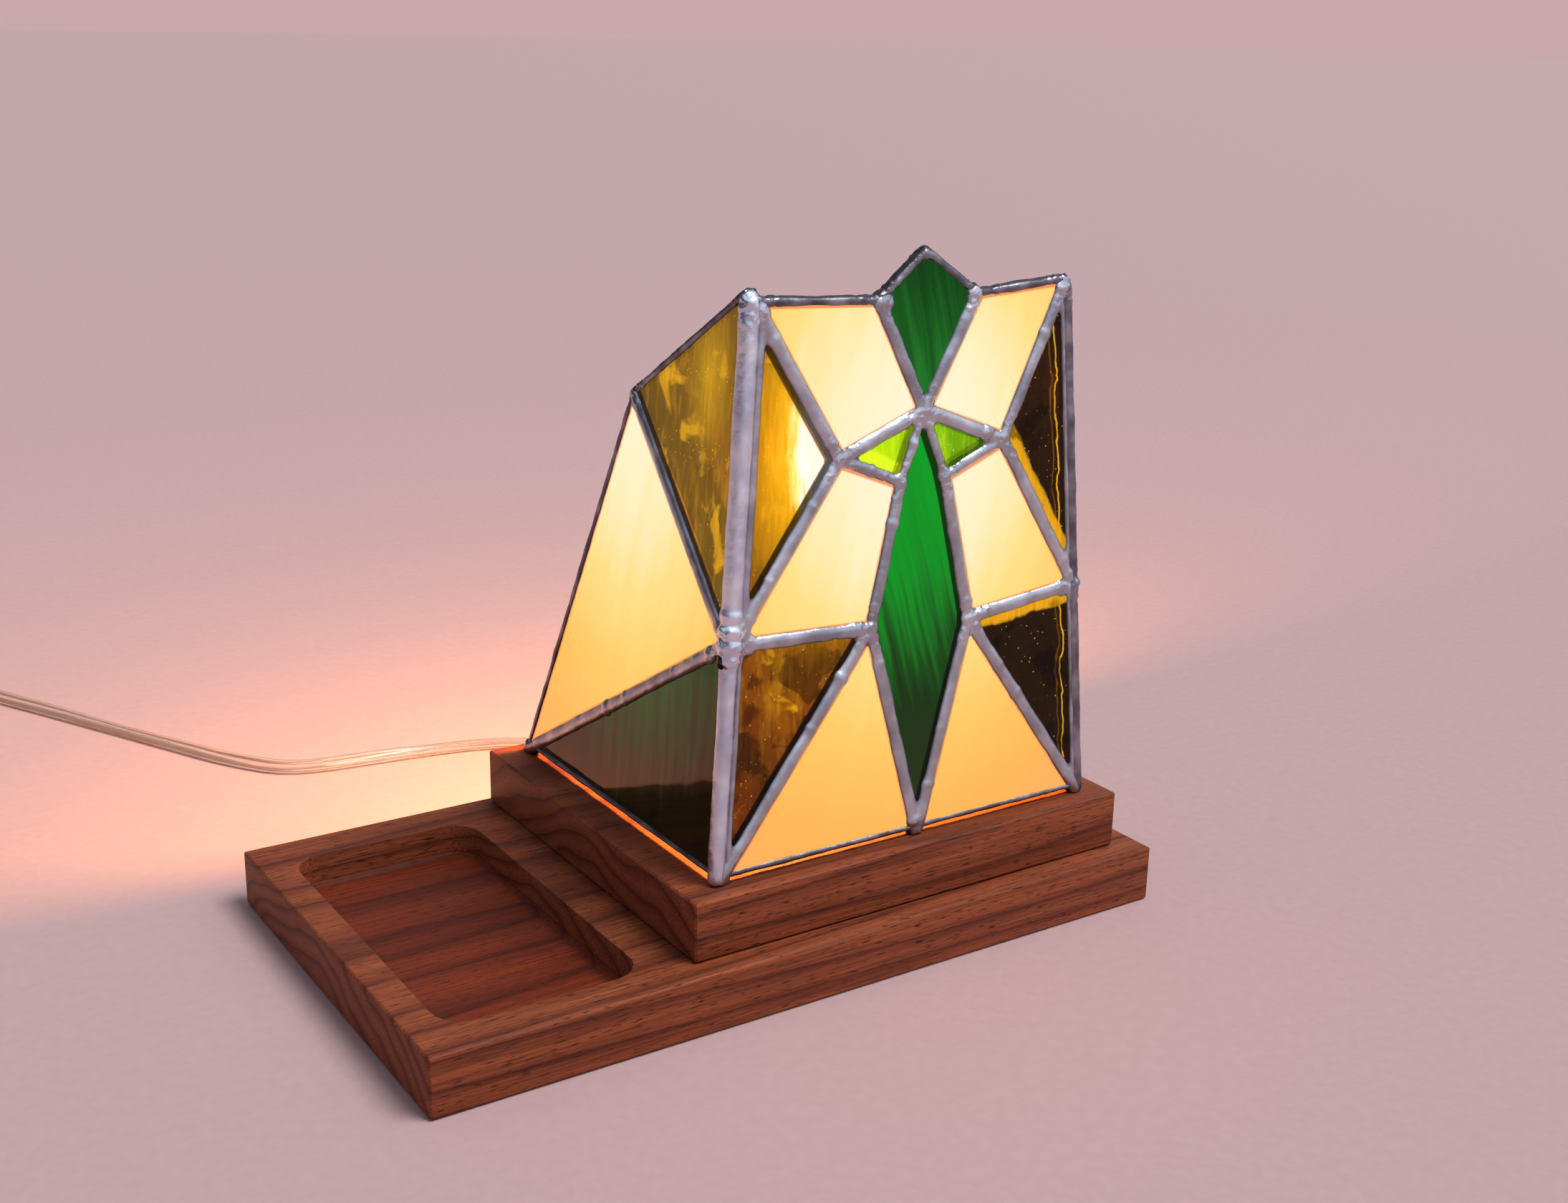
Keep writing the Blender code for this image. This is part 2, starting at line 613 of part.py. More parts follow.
def make_front_panel(shade):
    up = Vector((0, SHADE_LEAN, SHADE_HEIGHT)).normalized()
    origin = front_point(0, 0) - shade.matrix_world.translation
    frame = make_empty("front_panel", panel_matrix(origin, Vector((1, 0, 0)), up), shade)
    bpy.context.view_layer.update()
    points = {
        "apex": front_point(LEAF_SHIFT, APEX_HEIGHT),
        "cross": front_point(LEAF_SHIFT, CROSS_HEIGHT),
        "foot": front_point(LEAF_SHIFT, 0),
    }
    for end, side in (("left", -1), ("right", 1)):
        dip = FRONT_TOP_DIP if side < 0 else 0
        points["top_" + end] = corner_point(side, SHADE_HEIGHT - side * SHADE_TOP_SKEW - dip)
        points["rail_" + end] = corner_point(side, RAIL_HEIGHT)
        points["foot_" + end] = corner_point(side, 0)
        points["shoulder_" + end] = front_point(
            LEAF_SHIFT + SHOULDER_SHIFT + side * SHOULDER_HALF, SHOULDER_HEIGHT
        )
        points["wing_" + end] = front_point(LEAF_SHIFT + side * WING_HALF, WING_HEIGHT)
        points["neck_" + end] = front_point(LEAF_SHIFT + side * NECK_HALF, NECK_HEIGHT)
        points["waist_" + end] = front_point(
            LEAF_SHIFT + side * WAIST_HALF, WAIST_HEIGHT - side * WAIST_SKEW
        )
    border = [
        ("foot_left", "foot"), ("foot", "foot"), ("foot_right", "corner"), ("rail_right", "corner"),
        ("top_right", "free"), ("shoulder_right", "free"), ("apex", "free"), ("shoulder_left", "free"),
        ("top_left", "corner"), ("rail_left", "corner"),
    ]
    panes = {
        "green_crown_glass": (["apex", "shoulder_left", "cross", "shoulder_right"], GREEN),
        "green_leaf_glass": (
            ["cross", "neck_left", "waist_left", "foot", "waist_right", "neck_right"], GREEN
        ),
    }
    for end in ("left", "right"):
        top, rail, foot = "top_" + end, "rail_" + end, "foot_" + end
        shoulder, wing, neck, waist = "shoulder_" + end, "wing_" + end, "neck_" + end, "waist_" + end
        panes[f"cream_top_{end}_glass"] = ([top, shoulder, "cross", wing], CREAM)
        panes[f"amber_upper_{end}_glass"] = ([top, wing, rail], AMBER)
        panes[f"lime_{end}_glass"] = ([wing, "cross", neck], LIME)
        panes[f"cream_middle_{end}_glass"] = ([wing, neck, waist, rail], CREAM)
        panes[f"amber_lower_{end}_glass"] = ([rail, waist, foot], AMBER)
        panes[f"cream_lower_{end}_glass"] = ([waist, "foot", foot], CREAM)
    make_panel("front_solder", frame, points, border, panes)


def make_side_panel(shade, end, side):
    lean_in = (SHADE_FOOT_WIDTH - SHADE_TOP_WIDTH) / 2
    up = Vector((-side * lean_in, 0, SHADE_HEIGHT)).normalized()
    origin = corner_point(side, 0) - shade.matrix_world.translation
    frame = make_empty(f"{end}_panel", panel_matrix(origin, Vector((0, side, 0)), up), shade)
    bpy.context.view_layer.update()
    points = {
        "top": corner_point(side, SHADE_HEIGHT - side * SHADE_TOP_SKEW),
        "rail": corner_point(side, RAIL_HEIGHT),
        "foot": corner_point(side, 0),
        "rear_foot": side_point(side, SIDE_FOOT_DEPTH, 0),
        "rear_top": side_point(side, SIDE_TOP_DEPTH, SIDE_REAR_HEIGHT),
    }
    border = [
        ("foot", "foot"), ("rear_foot", "rear"), ("rear_top", "free"), ("top", "corner"), ("rail", "corner")
    ]
    panes = {
        f"{end}_side_amber_glass": (["top", "rear_top", "rail"], AMBER),
        f"{end}_side_cream_glass": (["rear_top", "rear_foot", "rail"], CREAM),
        f"{end}_side_green_glass": (["rear_foot", "foot", "rail"], DARK_GREEN),
    }
    make_panel(f"{end}_side_solder", frame, points, border, panes)


def corner_profile(side, radius):
    """A round bar slotted for the front glass and the side glass, as seen from above."""
    half = GLASS_THICK / 2 + CLEAR
    deep = CORNER_SET - CLEAR
    lip = math.asin(half / radius)
    arc_steps, inner_steps = 12, 3
    outer = [lip + math.pi / 2 + i / arc_steps * (1.5 * math.pi - 2 * lip) for i in range(arc_steps + 1)]
    inner = [lip + i / inner_steps * (math.pi / 2 - 2 * lip) for i in range(inner_steps + 1)]
    points = [(radius * math.cos(a), radius * math.sin(a)) for a in outer]
    points += [(deep, -half), (deep, half)]
    points += [(radius * math.cos(a), radius * math.sin(a)) for a in inner]
    points += [(half, deep), (-half, deep)]
    return [(-side * x, y) for x, y in points]


def make_corner_seam(shade, end, side):
    top = SHADE_HEIGHT - side * SHADE_TOP_SKEW
    rail = RAIL_HEIGHT
    levels = [
        (0, CORNER_KNOT), (KNOT_REACH, CORNER_RADIUS), (rail - KNOT_REACH, CORNER_RADIUS),
        (rail, CORNER_KNOT), (rail + KNOT_REACH, CORNER_RADIUS), (top - KNOT_REACH, CORNER_RADIUS),
        (top, CORNER_KNOT), (top + CORNER_CROWN * 0.7, CORNER_RADIUS),
        (top + CORNER_CROWN, CORNER_SET + BEAD_RISE),
    ]
    rings = []
    for height, radius in levels:
        centre = corner_point(side, height) - shade.matrix_world.translation
        rings.append([(centre.x + x, centre.y + y, centre.z) for x, y in corner_profile(side, radius)])
    maker = bmesh.new()
    add_loft(maker, rings)
    add_object(f"{end}_corner_seam", maker, SOLDER, shade)


def make_shade():
    shade = make_empty("shade", Matrix.Translation((SHADE_X, SHADE_Y, SHADE_Z)))
    bpy.context.view_layer.update()
    make_front_panel(shade)
    for end, side in (("left", -1), ("right", 1)):
        make_side_panel(shade, end, side)
        make_corner_seam(shade, end, side)


def tube_outline(outer, inner, foot, top):
    return [(inner, foot), (outer, foot), (outer, top), (inner, top)]


def make_lampholder(lamp):
    washer_top = CLEAR + WASHER_THICK
    add_object("seat_washer", turned(
        tube_outline(WASHER_RADIUS, NIPPLE_RADIUS + CLEAR, CLEAR, washer_top)), BRASS, lamp)
    nut_top = -PLINTH_WEB - CLEAR
    nut_foot = nut_top - NUT_THICK
    add_object("lamp_nipple", turned(
        tube_outline(NIPPLE_RADIUS, NIPPLE_BORE, nut_foot - CLEAR, NIPPLE_TOP), SMALL_ROUND), STEEL, lamp)
    nut = turned(tube_outline(NUT_FLATS / math.sqrt(3), NIPPLE_RADIUS + CLEAR, nut_foot, nut_top), 6)
    nut_piece = add_object("nipple_nut", nut, BRASS, lamp)
    bore = turned(
        [(0, nut_foot - CLEAR), (NIPPLE_RADIUS + CLEAR, nut_foot - CLEAR),
         (NIPPLE_RADIUS + CLEAR, nut_top + CLEAR), (0, nut_top + CLEAR)], SMALL_ROUND)
    cut(nut_piece, add_cutter("nut_cutter", bore, lamp))

    cap_foot = washer_top + CLEAR
    cap_inner = CAP_RADIUS - CAP_WALL
    add_object("socket_cap", turned([
        (NIPPLE_RADIUS + CLEAR, cap_foot), (CAP_HUB_RADIUS, cap_foot), (CAP_HUB_RADIUS, CAP_FLOOR),
        (CAP_RADIUS, SHELL_FOOT - CLEAR), (CAP_RADIUS, CAP_RIM), (cap_inner, CAP_RIM),
        (cap_inner, SHELL_FOOT), (CAP_HUB_RADIUS, CAP_FLOOR + CAP_WALL),
        (NIPPLE_RADIUS + CLEAR, CAP_FLOOR + CAP_WALL),
    ]), BRASS, lamp)
    shell_foot = SHELL_FOOT + CLEAR
    shell_inner = SHELL_RADIUS - SHELL_WALL
    shell = add_object("socket_shell", turned(
        tube_outline(SHELL_RADIUS, shell_inner, shell_foot, SHELL_TOP)), BRASS, lamp)
    liner_outer = shell_inner - CLEAR
    liner_inner = liner_outer - LINER_WALL
    liner = add_object("socket_liner", turned(
        tube_outline(liner_outer, liner_inner, shell_foot, LINER_TOP)), FIBRE, lamp)
    flange = liner_inner - CLEAR
    switch_block = add_object("switch_block", turned([
        (0, BLOCK_FOOT), (BLOCK_RADIUS, BLOCK_FOOT), (BLOCK_RADIUS, BLOCK_TOP - BLOCK_FLANGE),
        (flange, BLOCK_TOP - BLOCK_FLANGE), (flange, BLOCK_TOP), (0, BLOCK_TOP),
    ]), PHENOLIC, lamp)
    shaft = add_cutter("shaft_cutter", rod_along_y(
        SHAFT_START - CLEAR, SHAFT_BORE_END, SHAFT_RADIUS + SHAFT_PLAY, KEY_HEIGHT), lamp)
    for piece in (shell, liner, switch_block):
        cut(piece, shaft)

    thread_inner = THREAD_RADIUS + THREAD_PLAY
    seat = BLOCK_TOP + CLEAR
    add_object("screw_shell", turned([
        (CONTACT_RADIUS + CLEAR, seat), (thread_inner + THREAD_WALL, seat),
        (thread_inner + THREAD_WALL, THREAD_TOP), (thread_inner, THREAD_TOP),
        (thread_inner, seat + THREAD_WALL), (CONTACT_RADIUS + CLEAR, seat + THREAD_WALL),
    ]), BRASS, lamp)
    add_object("centre_contact", turned([
        (0, seat), (CONTACT_RADIUS, seat), (CONTACT_RADIUS, seat + CONTACT_RISE / 2),
        (CONTACT_RADIUS * 0.6, CONTACT_TOP), (0, CONTACT_TOP),
    ], SMALL_ROUND), BRASS, lamp)

    holes = bmesh.new()
    head = BLOCK_RADIUS + CLEAR
    for end, side in (("left", -1), ("right", 1)):
        along = [
            (BLOCK_RADIUS - TERMINAL_DEPTH, TERMINAL_SHANK), (head, TERMINAL_SHANK),
            (head, TERMINAL_HEAD), (head + TERMINAL_THICK, TERMINAL_HEAD),
        ]
        screw = bmesh.new()
        add_loft(screw, [round_across_x(side * x, radius) for x, radius in along])
        add_object(f"terminal_screw_{end}", screw, BRASS, lamp)
        add_loft(holes, [
            round_across_x(side * x, TERMINAL_SHANK + CLEAR)
            for x in (BLOCK_RADIUS - TERMINAL_DEPTH - CLEAR, head)
        ])
    cut(switch_block, add_cutter("terminal_cutter", holes, lamp))


def round_across_x(x, radius):
    turns = [2 * math.pi * i / SMALL_ROUND for i in range(SMALL_ROUND)]
    return [(x, radius * math.cos(a), TERMINAL_HEIGHT + radius * math.sin(a)) for a in turns]


def make_switch_key(lamp):
    """The turn key and its shaft, about an axis along +Y."""
    axis = make_empty("switch_axis", Matrix.Translation((0, 0, KEY_HEIGHT)), lamp)
    collar = SHELL_RADIUS + KEY_GAP
    paddle = collar + KEY_COLLAR_LENGTH
    tip = paddle + KEY_LENGTH
    sections = [
        (SHAFT_START, SHAFT_RADIUS, SHAFT_RADIUS), (collar, SHAFT_RADIUS, SHAFT_RADIUS),
        (collar, KEY_COLLAR, KEY_COLLAR), (paddle, KEY_COLLAR, KEY_COLLAR),
        (paddle + KEY_LENGTH * 0.35, KEY_HALF_WIDTH, KEY_HALF_THICK),
        (tip - KEY_LENGTH * 0.15, KEY_HALF_WIDTH, KEY_HALF_THICK),
        (tip, KEY_HALF_WIDTH * 0.75, KEY_HALF_THICK * 0.6),
    ]
    turns = [2 * math.pi * i / SMALL_ROUND for i in range(SMALL_ROUND)]
    maker = bmesh.new()
    add_loft(maker, [
        [(wide * math.cos(a), y, thick * math.sin(a)) for a in turns] for y, wide, thick in sections
    ])
    add_object("switch_key", maker, BRASS, axis)


def bulb_outline(less):
    """Half outline of the bulb's glass, neck to crown, drawn in by less."""
    radius = BULB_RADIUS - less
    centre = BULB_LENGTH - BULB_RADIUS
    neck = BULB_NECK_RADIUS - less
    arc_steps, blend_steps = 9, 5
    join = Vector((radius * math.cos(BULB_SLOPE), centre - radius * math.sin(BULB_SLOPE)))
    bend = Vector((neck, join.y - (join.x - neck) / math.tan(BULB_SLOPE)))
    start = Vector((neck, BULB_NECK_TOP))
    points = [(neck, BULB_NECK_FOOT)]
    for i in range(blend_steps):
        t = i / blend_steps
        point = start * (1 - t) ** 2 + bend * 2 * t * (1 - t) + join * t**2
        points.append((point.x, point.y))
    for i in range(arc_steps):
        a = -BULB_SLOPE + (math.pi / 2 + BULB_SLOPE) * i / arc_steps
        points.append((radius * math.cos(a), centre + radius * math.sin(a)))
    return points + [(0, centre + radius)]


def make_bulb(lamp):
    bulb = make_empty("bulb", Matrix.Translation((0, 0, BULB_FOOT)), lamp)
    add_object("bulb_globe", turned(bulb_outline(0) + bulb_outline(BULB_WALL)[::-1]), FROSTED, bulb)
    flare = BULB_NECK_RADIUS - BULB_WALL - CLEAR
    add_object("bulb_stem", turned([
        (0, STEM_FOOT), (flare, STEM_FOOT), (flare, STEM_FOOT + BULB_WALL),
        (STEM_RADIUS, STEM_FOOT + STEM_RADIUS + BULB_WALL), (STEM_RADIUS, STEM_TOP), (0, STEM_TOP),
    ], SMALL_ROUND), CLEAR_GLASS, bulb)
    foot = STEM_TOP + CLEAR
    top = foot + FILAMENT_RISE
    arch = [
        (-STEM_RADIUS / 2, 0, foot), (-STEM_RADIUS / 2, 0, foot + STEM_RADIUS),
        (-FILAMENT_HALF, 0, top), (-FILAMENT_HALF / 2, 0, top + FILAMENT_WIRE * 4),
        (FILAMENT_HALF / 2, 0, top + FILAMENT_WIRE * 4), (FILAMENT_HALF, 0, top),
        (STEM_RADIUS / 2, 0, foot + STEM_RADIUS), (STEM_RADIUS / 2, 0, foot),
    ]
    add_tube("bulb_filament", arch, FILAMENT_WIRE, TUNGSTEN, bulb, 1)
    inner = THREAD_RADIUS - BULB_CAP_WALL
    hole = INSULATOR_RADIUS + CLEAR
    add_object("bulb_cap", turned([
        (hole, BULB_CAP_FOOT), (THREAD_RADIUS, BULB_CAP_SHOULDER), (THREAD_RADIUS, BULB_CAP_TOP),
        (inner, BULB_CAP_TOP), (inner, BULB_CAP_SHOULDER + BULB_CAP_WALL),
        (hole, BULB_CAP_FOOT + BULB_CAP_WALL * 2),
    ]), ALUMINIUM, bulb)
    seat = BULB_TIP_RISE + CLEAR
    add_object("bulb_insulator", turned([
        (0, seat), (BULB_TIP_RADIUS, seat), (INSULATOR_RADIUS, BULB_CAP_FOOT),
        (INSULATOR_RADIUS, BULB_CAP_SHOULDER), (0, BULB_CAP_SHOULDER),
    ]), PHENOLIC, bulb)
    add_object("bulb_tip", turned([
        (0, 0), (BULB_TIP_RADIUS * 0.6, 0), (BULB_TIP_RADIUS, BULB_TIP_RISE / 2),
        (BULB_TIP_RADIUS, BULB_TIP_RISE), (0, BULB_TIP_RISE),
    ], SMALL_ROUND), SOLDER, bulb)


def make_wiring(lamp):
    """The lead up through the nipple, its two cores to the terminals, and the grommet it leaves by."""
    end = REAR_LOCAL - CLEAR
    top = BLOCK_FOOT - CORD_RADIUS
    mouth = REAR_LOCAL - GROMMET_SUNK - CORD_WIDTH
    bend = POCKET_RADIUS * 0.8
    route = [
        (0, 0, top), (0, 0, NIPPLE_TOP / 2), (0, 0, -PLINTH_WEB), (0, 0, -PLINTH_WEB - NUT_THICK),
        (0, bend * 0.16, (LEAD_LOW - PLINTH_WEB - NUT_THICK) / 2), (0, bend * 0.5, LEAD_LOW * 0.96),
        (0, bend, LEAD_LOW), (0, (bend + mouth) / 2, (LEAD_LOW + LEAD_HEIGHT) / 2), (0, mouth, LEAD_HEIGHT),
        (0, REAR_LOCAL - GROMMET_SUNK, LEAD_HEIGHT), (0, end, LEAD_HEIGHT),
    ]
    add_tube("supply_lead", smooth_route(route, LEAD_STEP), CORD_RADIUS, CLEAR_PVC, lamp)
    above = top + CLEAR + WIRE_RADIUS
    reach = BLOCK_RADIUS + CLEAR + TERMINAL_THICK / 2
    under_head = TERMINAL_HEIGHT - TERMINAL_HEAD - CLEAR
    for name, side in (("core_wire_left", -1), ("core_wire_right", 1)):
        core = [
            (side * CORD_RADIUS * 0.5, 0, above), (side * reach * 0.7, 0, above),
            (side * reach, 0, above + WIRE_RADIUS), (side * reach, 0, under_head),
        ]
        add_tube(name, core, WIRE_RADIUS, BRASS, lamp, 1)
    bore = CORD_RADIUS + CLEAR
    flange = CLEAR + GROMMET_FLANGE_THICK
    outline = [
        (bore, -GROMMET_SUNK), (GROMMET_RADIUS, -GROMMET_SUNK), (GROMMET_RADIUS, CLEAR),
        (GROMMET_FLANGE, CLEAR), (GROMMET_FLANGE, flange), (GROMMET_RADIUS, flange + GROMMET_FLANGE_THICK),
        (GROMMET_NOSE_RADIUS, GROMMET_TIP), (bore, GROMMET_TIP),
    ]
    grommet = add_object("cord_grommet", turned(outline, SMALL_ROUND), RUBBER, lamp,
                         (0, REAR_LOCAL, LEAD_HEIGHT))
    grommet.rotation_euler = (-math.pi / 2, 0, 0)


def coil_points():
    """One unbroken tube: in along the lower layer, up half a turn, and out along the upper layer."""
    outer = COIL_RADIUS + COIL_PITCH * COIL_TURNS / 2
    inner = outer - COIL_PITCH * COIL_TURNS
    low = CORD_RADIUS + TIE_THICK + CLEAR
    total = 2 * COIL_TURNS + COIL_CLIMB
    count = round(total * LOOP_POINTS)
    points = []
    for i in range(count + 1):
        turns = total * i / count
        climb = min(max((turns - COIL_TURNS) / COIL_CLIMB, 0), 1)
        if turns <= COIL_TURNS:
            radius = outer - COIL_PITCH * turns
        elif turns < COIL_TURNS + COIL_CLIMB:
            past = turns - COIL_TURNS
            radius = inner - COIL_PITCH * past * (1 - past / COIL_CLIMB)
        else:
            radius = inner + COIL_PITCH * (turns - COIL_TURNS - COIL_CLIMB)
        angle = COIL_START + 2 * math.pi * turns
        height = low + COIL_PITCH * climb**2 * (3 - 2 * climb)
        points.append(Vector((
            COIL_CENTRE[0] + radius * math.cos(angle), COIL_CENTRE[1] + radius * math.sin(angle), height
        )))
    start = Vector((math.sin(COIL_START), -math.cos(COIL_START), 0))
    end_angle = COIL_START + 2 * math.pi * total
    end = Vector((-math.sin(end_angle), math.cos(end_angle), 0))
    return [points[0] + start * CORD_WIDTH, *points, points[-1] + end * CORD_WIDTH], -start, end


def least_gap(points):
    """Smallest clear distance between parts of the coil that aren't next to each other."""
    apart = LOOP_POINTS // 2
    return min(
        (a - b).length for i, a in enumerate(points) for b in points[i + apart:]
    ) - CORD_WIDTH


def make_cord():
    coil, entry, leave = coil_points()
    print(f"coil: least gap to itself {least_gap(coil) * 1000:.2f} mm")
    first = Vector((PLINTH_X, PLINTH_REAR, PLINTH_TOP_Z + LEAD_HEIGHT))
    nose = first + Vector((0, GROMMET_TIP, 0))
    route = [first, nose, *CORD_ROUTE, coil[0] - entry * (CORD_WIDTH + CLEAR), coil[0] - entry * CLEAR]
    add_tube("cord_run", smooth_route(route, CORD_STEP), CORD_RADIUS, CLEAR_PVC)
    add_tube("cord_coil", coil, CORD_RADIUS, CLEAR_PVC, resolution=1)

    plug_end = coil[-1] + leave * TAIL_LENGTH
    plug_end.z = PLUG_HALF_THICK + CLEAR
    tail = [
        coil[-1] + leave * CLEAR, coil[-1] + leave * (CORD_WIDTH + CLEAR),
        coil[-1].lerp(plug_end, 0.5), plug_end - leave * CORD_WIDTH, plug_end,
    ]
    add_tube("cord_tail", smooth_route(tail, CORD_STEP), CORD_RADIUS, CLEAR_PVC)
    make_tie()
    make_plug(plug_end, leave)


def make_tie():
    """A flat band round the coil's bundle."""
    half_x = COIL_PITCH * COIL_TURNS / 2 + CORD_RADIUS + COIL_PITCH * COIL_CLIMB / 2
    half_z = COIL_PITCH / 2 + CORD_RADIUS + CLEAR
    corner = CORD_RADIUS
    middle = Vector((COIL_RADIUS, 0, TIE_THICK + half_z))
    hole = [(x, z) for x, z in rounded_rectangle(half_x, half_z, corner, 3)]
    rim = [
        (x, z)
        for x, z in rounded_rectangle(half_x + TIE_THICK, half_z + TIE_THICK, corner + TIE_THICK, 3)
    ]
    maker = bmesh.new()
    rings = []
    for outline, y in ((hole, -1), (rim, -1), (rim, 1), (hole, 1)):
        rings.append([
            maker.verts.new((middle.x + x, y * TIE_WIDTH / 2, middle.z + z)) for x, z in outline
        ])
    for near, far in zip(rings, rings[1:] + rings[:1]):
        for i in range(len(near)):
            j = (i + 1) % len(near)
            maker.faces.new((near[i], near[j], far[j], far[i]))
    tie = add_object("cord_tie", maker, RUBBER, None, (*COIL_CENTRE, 0))
    tie.rotation_euler = (0, 0, TIE_TURN)


def make_plug(place, direction):
    """A moulded flat plug with two blades, lying on the table."""
    turn = math.atan2(direction.y, direction.x) - math.pi / 2
    plug = make_empty("plug", Matrix.Translation(place) @ Matrix.Rotation(turn, 4, "Z"))
    steps = 4
    sections = [
        (CLEAR, PLUG_RELIEF_RADIUS, PLUG_RELIEF_RADIUS),
        (PLUG_RELIEF * 0.7, PLUG_RELIEF_RADIUS * 1.25, PLUG_RELIEF_RADIUS * 1.1),
        (PLUG_RELIEF, PLUG_HALF_WIDTH * 0.7, PLUG_HALF_THICK * 0.8),
        (PLUG_RELIEF + PLUG_LENGTH * 0.3, PLUG_HALF_WIDTH * 0.92, PLUG_HALF_THICK),
        (PLUG_RELIEF + PLUG_LENGTH * 0.9, PLUG_HALF_WIDTH, PLUG_HALF_THICK),
        (PLUG_RELIEF + PLUG_LENGTH, PLUG_HALF_WIDTH * 0.93, PLUG_HALF_THICK * 0.9),
    ]
    body = bmesh.new()
    add_loft(body, [
        [(x, y, z) for x, z in rounded_rectangle(wide, thick, thick * 0.75, steps)]
        for y, wide, thick in sections
    ])
    add_object("plug_body", body, CLEAR_PVC, plug)
    face = PLUG_RELIEF + PLUG_LENGTH + CLEAR
    for end, side in (("left", -1), ("right", 1)):
        centre = side * BLADE_SPACING / 2
        rings = []
        for y, share in ((face, 1), (face + BLADE_LENGTH * 0.85, 1), (face + BLADE_LENGTH, 0.7)):
            x, z = BLADE_THICK / 2 * share, BLADE_WIDTH / 2 * share
            rings.append([(centre + a * x, y, b * z) for a, b in ((-1, -1), (1, -1), (1, 1), (-1, 1))])
        blade = bmesh.new()
        add_loft(blade, rings)
        add_object(f"plug_blade_{end}", blade, BRASS, plug)


def make_lamp():
    make_base_board()
    make_plinth()
    make_base_screws()
    make_shade()
    lamp = make_empty("lamp", Matrix.Translation((PLINTH_X, PLINTH_Y, PLINTH_TOP_Z)))
    make_lampholder(lamp)
    make_switch_key(lamp)
    make_bulb(lamp)
    make_wiring(lamp)
    make_cord()


make_lamp()
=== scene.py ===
# Stained glass table lamp: looks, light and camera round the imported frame

import functools
import json
import math
import random

import bpy
from mathutils import Matrix, Vector

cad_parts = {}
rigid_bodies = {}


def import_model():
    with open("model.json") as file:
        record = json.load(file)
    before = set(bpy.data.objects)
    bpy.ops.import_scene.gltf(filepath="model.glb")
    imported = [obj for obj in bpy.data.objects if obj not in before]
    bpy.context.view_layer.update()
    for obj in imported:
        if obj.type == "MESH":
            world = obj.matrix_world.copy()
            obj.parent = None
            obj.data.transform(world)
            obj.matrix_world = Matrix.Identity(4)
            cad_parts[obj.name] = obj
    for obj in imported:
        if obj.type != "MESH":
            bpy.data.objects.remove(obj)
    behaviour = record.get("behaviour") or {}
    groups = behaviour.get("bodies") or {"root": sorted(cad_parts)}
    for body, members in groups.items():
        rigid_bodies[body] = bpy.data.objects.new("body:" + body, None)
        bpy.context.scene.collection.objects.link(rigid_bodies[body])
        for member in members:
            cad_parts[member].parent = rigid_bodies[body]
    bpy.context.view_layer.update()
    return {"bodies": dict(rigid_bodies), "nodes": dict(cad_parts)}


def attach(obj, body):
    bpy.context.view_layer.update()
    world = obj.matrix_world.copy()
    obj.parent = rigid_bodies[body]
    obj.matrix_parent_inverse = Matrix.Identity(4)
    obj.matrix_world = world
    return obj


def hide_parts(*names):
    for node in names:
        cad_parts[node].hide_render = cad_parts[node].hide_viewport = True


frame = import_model()
nodes = frame["nodes"]
scene = bpy.context.scene
scene.view_settings.view_transform = "Standard"
print("frame loaded,", len(nodes), "nodes")


def hexColor(code):  # sRGB hex to the linear values that shaders take
    parts = [int(code[i:i + 2], 16) / 255 for i in (1, 3, 5)]
    return [p / 12.92 if p <= 0.04045 else ((p + 0.055) / 1.055) ** 2.4 for p in parts] + [1.0]


def setInputs(node, inputs):  # a socket, or a node's first live output, is linked; a plain value is set
    for name, value in inputs.items():
        if isinstance(value, bpy.types.Node):
            value = next(output for output in value.outputs if output.enabled)
        if isinstance(value, bpy.types.NodeSocket):
            node.id_data.links.new(value, node.inputs[name])
        else:
            node.inputs[name].default_value = value


def addNode(tree, kind, inputs=None, stops=None, **settings):
    node = tree.nodes.new("ShaderNode" + kind)
    for name, value in settings.items():
        setattr(node, name, value)
    setInputs(node, inputs or {})
    for i, (spot, code) in enumerate(stops or []):  # a colour ramp's stops, in rising order
        ramp = node.color_ramp.elements
        if i == len(ramp):
            ramp.new(1.0)
        ramp[i].position = spot
        ramp[i].color = hexColor(code)
    return node


def startMaterial(name, inputs):
    material = bpy.data.materials.new(name)
    material.use_nodes = True
    shader = material.node_tree.nodes["Principled BSDF"]
    setInputs(shader, inputs)
    addTo = functools.partial(addNode, material.node_tree)
    return material, addTo, shader, addTo("TexCoord").outputs["Object"]


def makeGrained(name, inputs, grain, tones, socket="Base Color", rough=None, relief=None):
    # a finish with one fine grain: its tones, and where given its roughness and its relief
    material, addTo, shader, place = startMaterial(name, inputs)
    noise = addTo("TexNoise", {"Vector": place, "Scale": grain[0], "Detail": grain[1]})
    setInputs(shader, {socket: addTo("ValToRGB", {"Fac": noise}, tones)})
    if rough:
        level = addTo("MapRange", {"Value": noise, "To Min": rough[0], "To Max": rough[1]})
        setInputs(shader, {"Roughness": level})
    if relief:
        bump = addTo("Bump", {"Height": noise, "Strength": relief[0], "Distance": relief[1]})
        setInputs(shader, {"Normal": bump})
    return material


def pick(piece):  # the one selected and active object
    bpy.ops.object.select_all(action="DESELECT")
    piece.select_set(True)
    bpy.context.view_layer.objects.active = piece


def applyModifier(piece, kind, **settings):
    pick(piece)
    modifier = piece.modifiers.new(kind.title(), kind)
    for name, value in settings.items():
        setattr(modifier, name, value)
    bpy.ops.object.modifier_apply(modifier=modifier.name)


def roundEdges(piece, width, degrees):
    applyModifier(piece, "BEVEL", width=width, segments=2, limit_method="ANGLE", angle_limit=math.radians(degrees))


